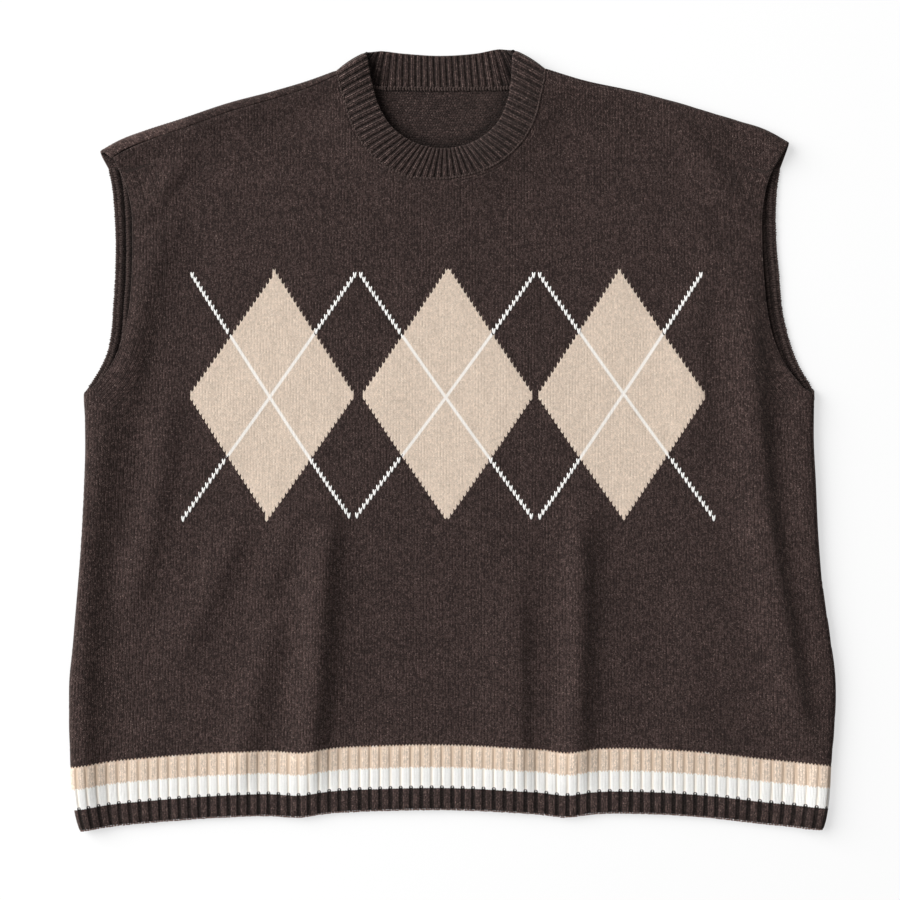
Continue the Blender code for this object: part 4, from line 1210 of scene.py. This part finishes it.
def striped_wool(name):
    """Three colours by course. In the grooves the loops of the next colour show at a change."""
    wool = Wool(name)
    wale, course, _ = wool.stored("knit")
    across, up, stitch, height = stocking_stitch(wool, wale, course, 0.45)
    rib = wale * (1.0 / RIB_WALES)
    from_groove = ((rib + 0.5).part() - 0.5).size()
    # painted shade in the grooves: narrow for white and oatmeal; the wide, ragged one darkens brown and
    # oatmeal
    narrow_groove_shade = wool.ramp(from_groove, 0.20, 0.04)
    ragged = wool.noise(wool.joined(wale * 0.3, course * 0.9), 1.0) * 0.08 - 0.04
    wide = wool.ramp(from_groove + ragged, 0.28, 0.15)
    out = (wale - across).size() * 2.0
    # painted shade between the wales; lit_side is a painted highlight on each rib's left side
    between = wool.ramp(out, 0.55, 1.0)
    lit_side = wool.ramp((rib.part() - 0.30).size(), 0.16, 0.04)
    brown = melange(wool, BROWN, BROWN_FLECK, wale, course, stitch, height, 0.8, 1.7)
    brown = wool.scaled(brown, (wide * -0.78 + 1.0) * (lit_side * 0.32 + 1.6))
    brown = wool.scaled(brown, between * -0.4 + 1.0)
    white = melange(wool, WHITE, WHITE, wale, course, stitch, height, 0.05, 0.06)
    white = wool.choose(narrow_groove_shade, white, WHITE_GROOVE_SHADE)
    oatmeal = melange(wool, OATMEAL, OATMEAL_FLECK, wale, course, stitch, height, 0.3, 0.4)
    oatmeal = wool.scaled(oatmeal, between * -0.17 + 1.31)
    oatmeal = wool.choose((wide * 0.7).at_least(narrow_groove_shade), oatmeal, OATMEAL_GROOVE_SHADE)
    bulge = ((from_groove * 5.0) ** 2.0).less_than_one() ** 0.5 * 1.1
    colour = wool.choose(course - bulge - out * 0.2 > STRIPES[0] - 0.3, brown, white)
    colour = wool.choose(up > STRIPES[1] - 0.5, colour, oatmeal)
    for stripe in (STRIPES[0] + 0.25, STRIPES[1] + 0.5):
        gap = (from_groove * 15.0) ** 2.0 + ((course - stripe) * 2.7) ** 2.0
        colour = wool.choose((gap < 1.0) * 0.8, colour, WHITE)
    height = height * wool.pick(course > STRIPES[0], 1.0, 0.5)
    return wool.finish(colour, height, 0.9)


hem_rows = [(1.0, 0.1), (0.985, 0.55), (0.96, 0.85)]
hem_rows += [(row, 1.0) for row in np.linspace(0.92, 0.05, 12)]
hem_loop = band_loop(hem_rows, RIB_HEIGHT)
striped = striped_wool("striped_rib_wool")
for layer, node in (("front", "hem_rib_front"), ("back", "hem_rib_back")):
    relief, sunk = RIB_RELIEF[layer]
    hem = make_band(
        node + "_knit", HEM_RIBS, RIB_PLACES, hem_loop, hem_place(layer), RIB_WALES, HEM_COURSES,
        {"Relief": relief * MM, "Squareness": 2.7, "Groove": RIB_GROOVE, "Sunk": sunk}, striped)
    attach(hem, "root")
    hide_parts(node)


# ---- neckband ----
# A brown rib in two halves, front and back, linked to the panels round the neckline. The front
# half stands up a little towards its free edge. The back half lies flat, and its inner face shows.
RING_TOP = [
    (-69.0, 313.8), (-62.0, 314.6), (-40.0, 312.6), (-9.3, 310.8), (20.0, 312.8),
    (40.0, 316.2), (48.5, 315.6),
]
BAND_LEAN = 0.062       # how far a rib leans along the band between its two edges
BAND_PARTING = 0.965    # the two halves stop this far round the folded sides, just short of each other
BAND_RIBS = {"front": 48, "back": 24}
BAND_RELIEF = 0.8
BAND_SUNK = 0.3
BAND_GROOVE = 0.24
BAND_PLACES = (0.0, 0.09, 0.115, 0.16, 0.24, 0.36, 0.5, 0.64, 0.76, 0.84, 0.885, 0.91)
BAND_RISE = 1.1         # how far the front half stands up at its free edge
BAND_CROWN = 1.0        # and how far its middle arches
BAND_CORNER = (2.4, 0.012)  # how far the free edge draws back at its folded ends, and the spread
BAND_WALES = 2
BAND_COURSES = 14
BAND_WIDTH = 26.0
ring_top = path_through(RING_TOP)


def ring_reach(plan):
    """Distance in plan from the nearer of the neckband's two folded sides."""
    x, y = plan[..., 0], plan[..., 1]
    gaps = []
    for (ax, ay), (bx, by) in ((NECK_SEAM[0], NECK_EDGE[0]), (NECK_EDGE[-1], NECK_SEAM[-1])):
        size = math.hypot(bx - ax, by - ay)
        gaps.append(((x - ax) * (by - ay) - (y - ay) * (bx - ax)) / size)
    return np.maximum(np.minimum(*gaps), 0)


def plan_drop(inset):
    """The roll's drop for a distance in plan from its edge."""
    return ROLL - np.sqrt(np.maximum(ROLL ** 2 - np.maximum(ROLL - inset, 0) ** 2, 0))


def upward_normals(face, up):
    """Unit normals, pointing up, of a band's face. Its rows at the same height share them."""
    _, first, back_to = np.unique(up[0], return_index=True, return_inverse=True)
    grid = face[:, first]
    normal = unit(np.cross(np.gradient(grid, axis=0), np.gradient(grid, axis=1)))
    return (normal * np.sign(normal[..., 2:3] + 1e-9))[:, back_to]


def front_band_place(across, up):
    """Rows count up from the free edge to the seam."""
    seam = neck_seam(across)
    edge = neck_edge(across + BAND_LEAN * np.sin(2 * math.pi * across))
    end = np.exp(-(np.minimum(across, 1 - across) / BAND_CORNER[1]) ** 2)
    out = (1 - up) * (1 - BAND_CORNER[0] / BAND_WIDTH * end)
    plan = seam + (edge - seam) * out[..., None]
    plan[..., 1] += 1.4 * np.sin(math.pi * out) * end
    lift = BAND_RISE * out + BAND_CROWN * np.sin(math.pi * out)
    z = over_roll(upper_height(seam) + lift, plan_drop(ring_reach(plan)) * BAND_PARTING)
    face = np.concatenate([plan, z[..., None]], axis=-1)
    return face, upward_normals(face, up)


def back_band_place(across, up):
    """Rows count up from the ring's free edge to the seam. The inner face is the upper one."""
    off = 2 * across - 1
    low = back_neck((1 + 0.7 * off + 0.3 * np.sign(off) * off ** 6) / 2)
    high = ring_top(across)
    plan = high + (low - high) * up[..., None]
    under = np.concatenate([plan, (plan_drop(ring_reach(plan)) * BAND_PARTING)[..., None]], axis=-1)
    normal = upward_normals(under, up)
    return under + normal * WALL, normal


def band_wool(name):
    """The neckband's narrow rib, with purl stitches in its grooves, painted highlights and painted shade.
    """
    wool = Wool(name)
    wale, course, from_edge = wool.stored("knit")
    _, _, stitch, height = stocking_stitch(wool, wale, course, 0.50)
    from_groove = ((wale * (1.0 / BAND_WALES) + 0.5).part() - 0.5).size()
    purl = (from_groove * 7.0 + ((course.part() - 0.5) * 2.0) ** 2.0).less_than_one()
    height = height.at_least(purl * 0.6)
    # painted highlights on each rib's two legs and both rims; painted shade in the grooves, between the
    # legs and under the front half's edge
    leg = wool.ramp((from_groove - 0.33).size(), 0.10, 0.02)
    middle = wool.ramp(from_groove, 0.44, 0.49)
    groove = wool.ramp(from_groove, 0.21, 0.14)
    rim_highlight = wool.ramp(course, 1.5, 0.4) + wool.ramp(course, 12.7, 13.6)
    under = wool.ramp(from_edge, 13.0, 1.0) * -0.6 + 1.0
    brown = melange(wool, BROWN, BROWN_FLECK, wale, course, stitch, height, 0.6, 1.55)
    brown = wool.scaled(brown, (groove * -0.52 + 1.1) * (leg * 0.75 + 1.0) * under)
    brown = wool.scaled(brown, (middle * -0.45 + 1.0) * (rim_highlight * 0.22 + 1.0))
    return wool.finish(brown, height, 1.1)


band_rows = [(1.0, 0.2), (0.965, 0.7), (0.92, 1.0)]
band_rows += [(row, 1.0) for row in np.linspace(0.84, 0.08, 9)]
ribbed_brown = band_wool("brown_rib_wool")
for half, place in (("front", front_band_place), ("back", back_band_place)):
    band = make_band(
        "neckband_" + half + "_knit", BAND_RIBS[half], BAND_PLACES, band_loop(band_rows, BAND_WIDTH),
        place, BAND_WALES, BAND_COURSES,
        {"Relief": BAND_RELIEF * MM, "Squareness": 3.0, "Groove": BAND_GROOVE, "Sunk": BAND_SUNK},
        ribbed_brown, neck_edge(NECK_STATIONS) if half == "back" else None)
    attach(band, "root")
    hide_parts("neckband_" + half)


# ---- linking and edge stitches ----
# Rows of plump loops in brown wool: the linking round both neck seams, the edge stitches of the
# armholes, and the cast-on edge of the hem. Each row lies along its seam or edge.
LOOP_SIZES = ("Loop Length", "Loop Width", "Loop Height")


def loop_tree(material):
    """A plump oval loop on every seed point."""
    nodes, (seeds, *sizes), end = new_tree("plump_loop", LOOP_SIZES)
    return spread_over(nodes, seeds, oval(nodes, *sizes), material, end)


def spaced(line, pitch):
    """Points spaced evenly along a line."""
    length = lengths_along(line)
    at = np.arange(pitch / 2, length[-1], pitch)
    return np.stack([np.interp(at, length, part) for part in line.T], axis=-1)


def loop_row(name, rows, size, yarn):
    """One piece of loops. Each row holds points, the way up there and a turn from its heading."""
    rng = np.random.default_rng(len(name))
    points, ups, turns = [], [], []
    for line, up, turn in rows:
        ahead = np.gradient(line, axis=0)
        points.append(line + rng.uniform(-0.22, 0.22, line.shape))
        ups.append(up)
        turns.append(np.arctan2(ahead[:, 1], ahead[:, 0]) + turn + rng.uniform(-0.3, 0.3, len(line)))
    seeds = seed_points(name + "_seeds", *map(np.concatenate, (points, ups, turns)))
    piece = grown(name, seeds, loop_tree(yarn), dict(zip(LOOP_SIZES, np.array(size) * MM)), yarn)
    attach(piece, "root")


def on_face(cloth, layer, depth):
    """Points at a depth in a panel's wall, and the way from them to the side seen from above."""
    out = outward(cloth, layer)
    return lay(cloth, layer) - out * depth, out * FACING[layer]


def on_plan(line, height):
    """Points at a height over the floor, and the way up."""
    return np.column_stack([line, np.broadcast_to(height, len(line))]), np.tile((0, 0, 1), (len(line), 1))


link_brown = sewn_yarn("brown_linking_yarn", BROWN, BROWN_FLECK, 1.2, 0.12, (1900.0, 380.0), 0.15)
edge_brown = sewn_yarn("brown_edge_yarn", BROWN, BROWN_FLECK, 1.2, 0.10, (1900.0, 380.0), 0.15)
fringe_brown = sewn_yarn(
    "brown_cast_on_yarn", (0.105, 0.058, 0.046, 1.0), BROWN_FLECK, 1.2, 0.45, (1900.0, 380.0), 0.15)
seam = spaced(neck_seam(np.linspace(0.008, 0.992, 400)), 2.6)
seam_height = over_roll(upper_height(seam) + 0.1, plan_drop(ring_reach(seam)))
behind = spaced(back_neck(np.linspace(*BACK_NECK_SPAN, 300)), 2.4)
behind = behind[(behind[:, 0] > -84) & (behind[:, 0] < 66)]
loop_row(
    "neck_linking",
    [(*on_plan(seam, seam_height), 0.0),
     (*on_plan(behind + (0, 0.5), WALL + 1.0), 0.7),
     (*on_plan(behind - (0, 0.7), WALL + 0.7), -0.7)],
    (2.7, 1.9, 1.7), link_brown)

edges, front_edges = [], []
for side in (-1, 1):
    lines = armhole_rows("back", side, 1.0, (1.0, 4.0, 9.3))
    for line, turn, depth in zip(lines, (0.4, -0.4, 0.3), (WALL, WALL + 0.25, WALL - 0.3)):
        edges.append((*on_face(spaced(line, COURSE), "back", depth), math.pi / 2 + turn))
    line = spaced(*armhole_rows("front", side, 1.0, [0.6]), 2.3)
    front_edges.append((*on_face(line, "front", 0.3 if side < 0 else 0.8), 0.0))
loop_row("armhole_edge_stitches", edges, (3.3, 1.7, 1.0), edge_brown)
loop_row("armhole_front_stitches", front_edges, (2.5, 1.1, 0.9), edge_brown)

hem_line = np.linspace(-300.5, 299.0, 600)
hem_line = spaced(np.stack([hem_line, hem_edge(hem_line) - 0.55], axis=-1), 2.1)
loop_row("hem_cast_on", [(*on_face(hem_line, "front", 0.9), 0.0)], (2.3, 1.5, 1.7),
         fringe_brown)


# ---- studio ----
# A plain white floor, lit a little from below, soft light from the upper left with a weak fill, and
# a camera straight above, far enough away that the garment's outline stays true.
CAMERA_LENS = 85.0
CAMERA_PLACE = (-0.0019, -0.0091, 1.7227)
KEY_LIGHT = (-6.9, 2.8, 4.7)
KEY_SIZE = 8.6
KEY_POWER = 1500.0
SKY = 0.30
FLOOR_GLOW = 0.597
FLOOR_GREY = 0.345
FLOOR_HALF = 4.0
FLOOR_LEVEL = -0.0002

corners = [(x * FLOOR_HALF, y * FLOOR_HALF, FLOOR_LEVEL) for x, y in ((-1, -1), (1, -1), (1, 1), (-1, 1))]
floor_mesh = bpy.data.meshes.new("floor")
floor_mesh.from_pydata(corners, [], [(0, 1, 2, 3)])
floor = placed("floor", floor_mesh)
paper = bpy.data.materials.new("white_paper")
paper.use_nodes = True
Nodes(paper.node_tree).fill(paper.node_tree.nodes["Principled BSDF"], {
    "Base Color": (FLOOR_GREY, FLOOR_GREY, FLOOR_GREY, 1), "Roughness": 0.9,
    "Emission Color": (1, 1, 1, 1), "Emission Strength": FLOOR_GLOW})
floor_mesh.materials.append(paper)

key_data = bpy.data.lights.new("key_light", "AREA")
key_data.shape = "DISK"
key_data.size = KEY_SIZE
key_data.energy = KEY_POWER
key = placed("key_light", key_data)
key.location = KEY_LIGHT
key.rotation_euler = Vector(KEY_LIGHT).to_track_quat("Z", "Y").to_euler()

world = bpy.data.worlds.new("studio")
world.use_nodes = True
Nodes(world.node_tree).fill(
    world.node_tree.nodes["Background"], {"Color": (1, 1, 1, 1), "Strength": SKY})
bpy.context.scene.world = world
bpy.context.scene.view_settings.view_transform = "Standard"

camera_data = bpy.data.cameras.new("camera")
camera_data.lens = CAMERA_LENS
camera_data.clip_end = 20.0
camera = placed("camera", camera_data)
camera.location = CAMERA_PLACE
bpy.context.scene.camera = camera
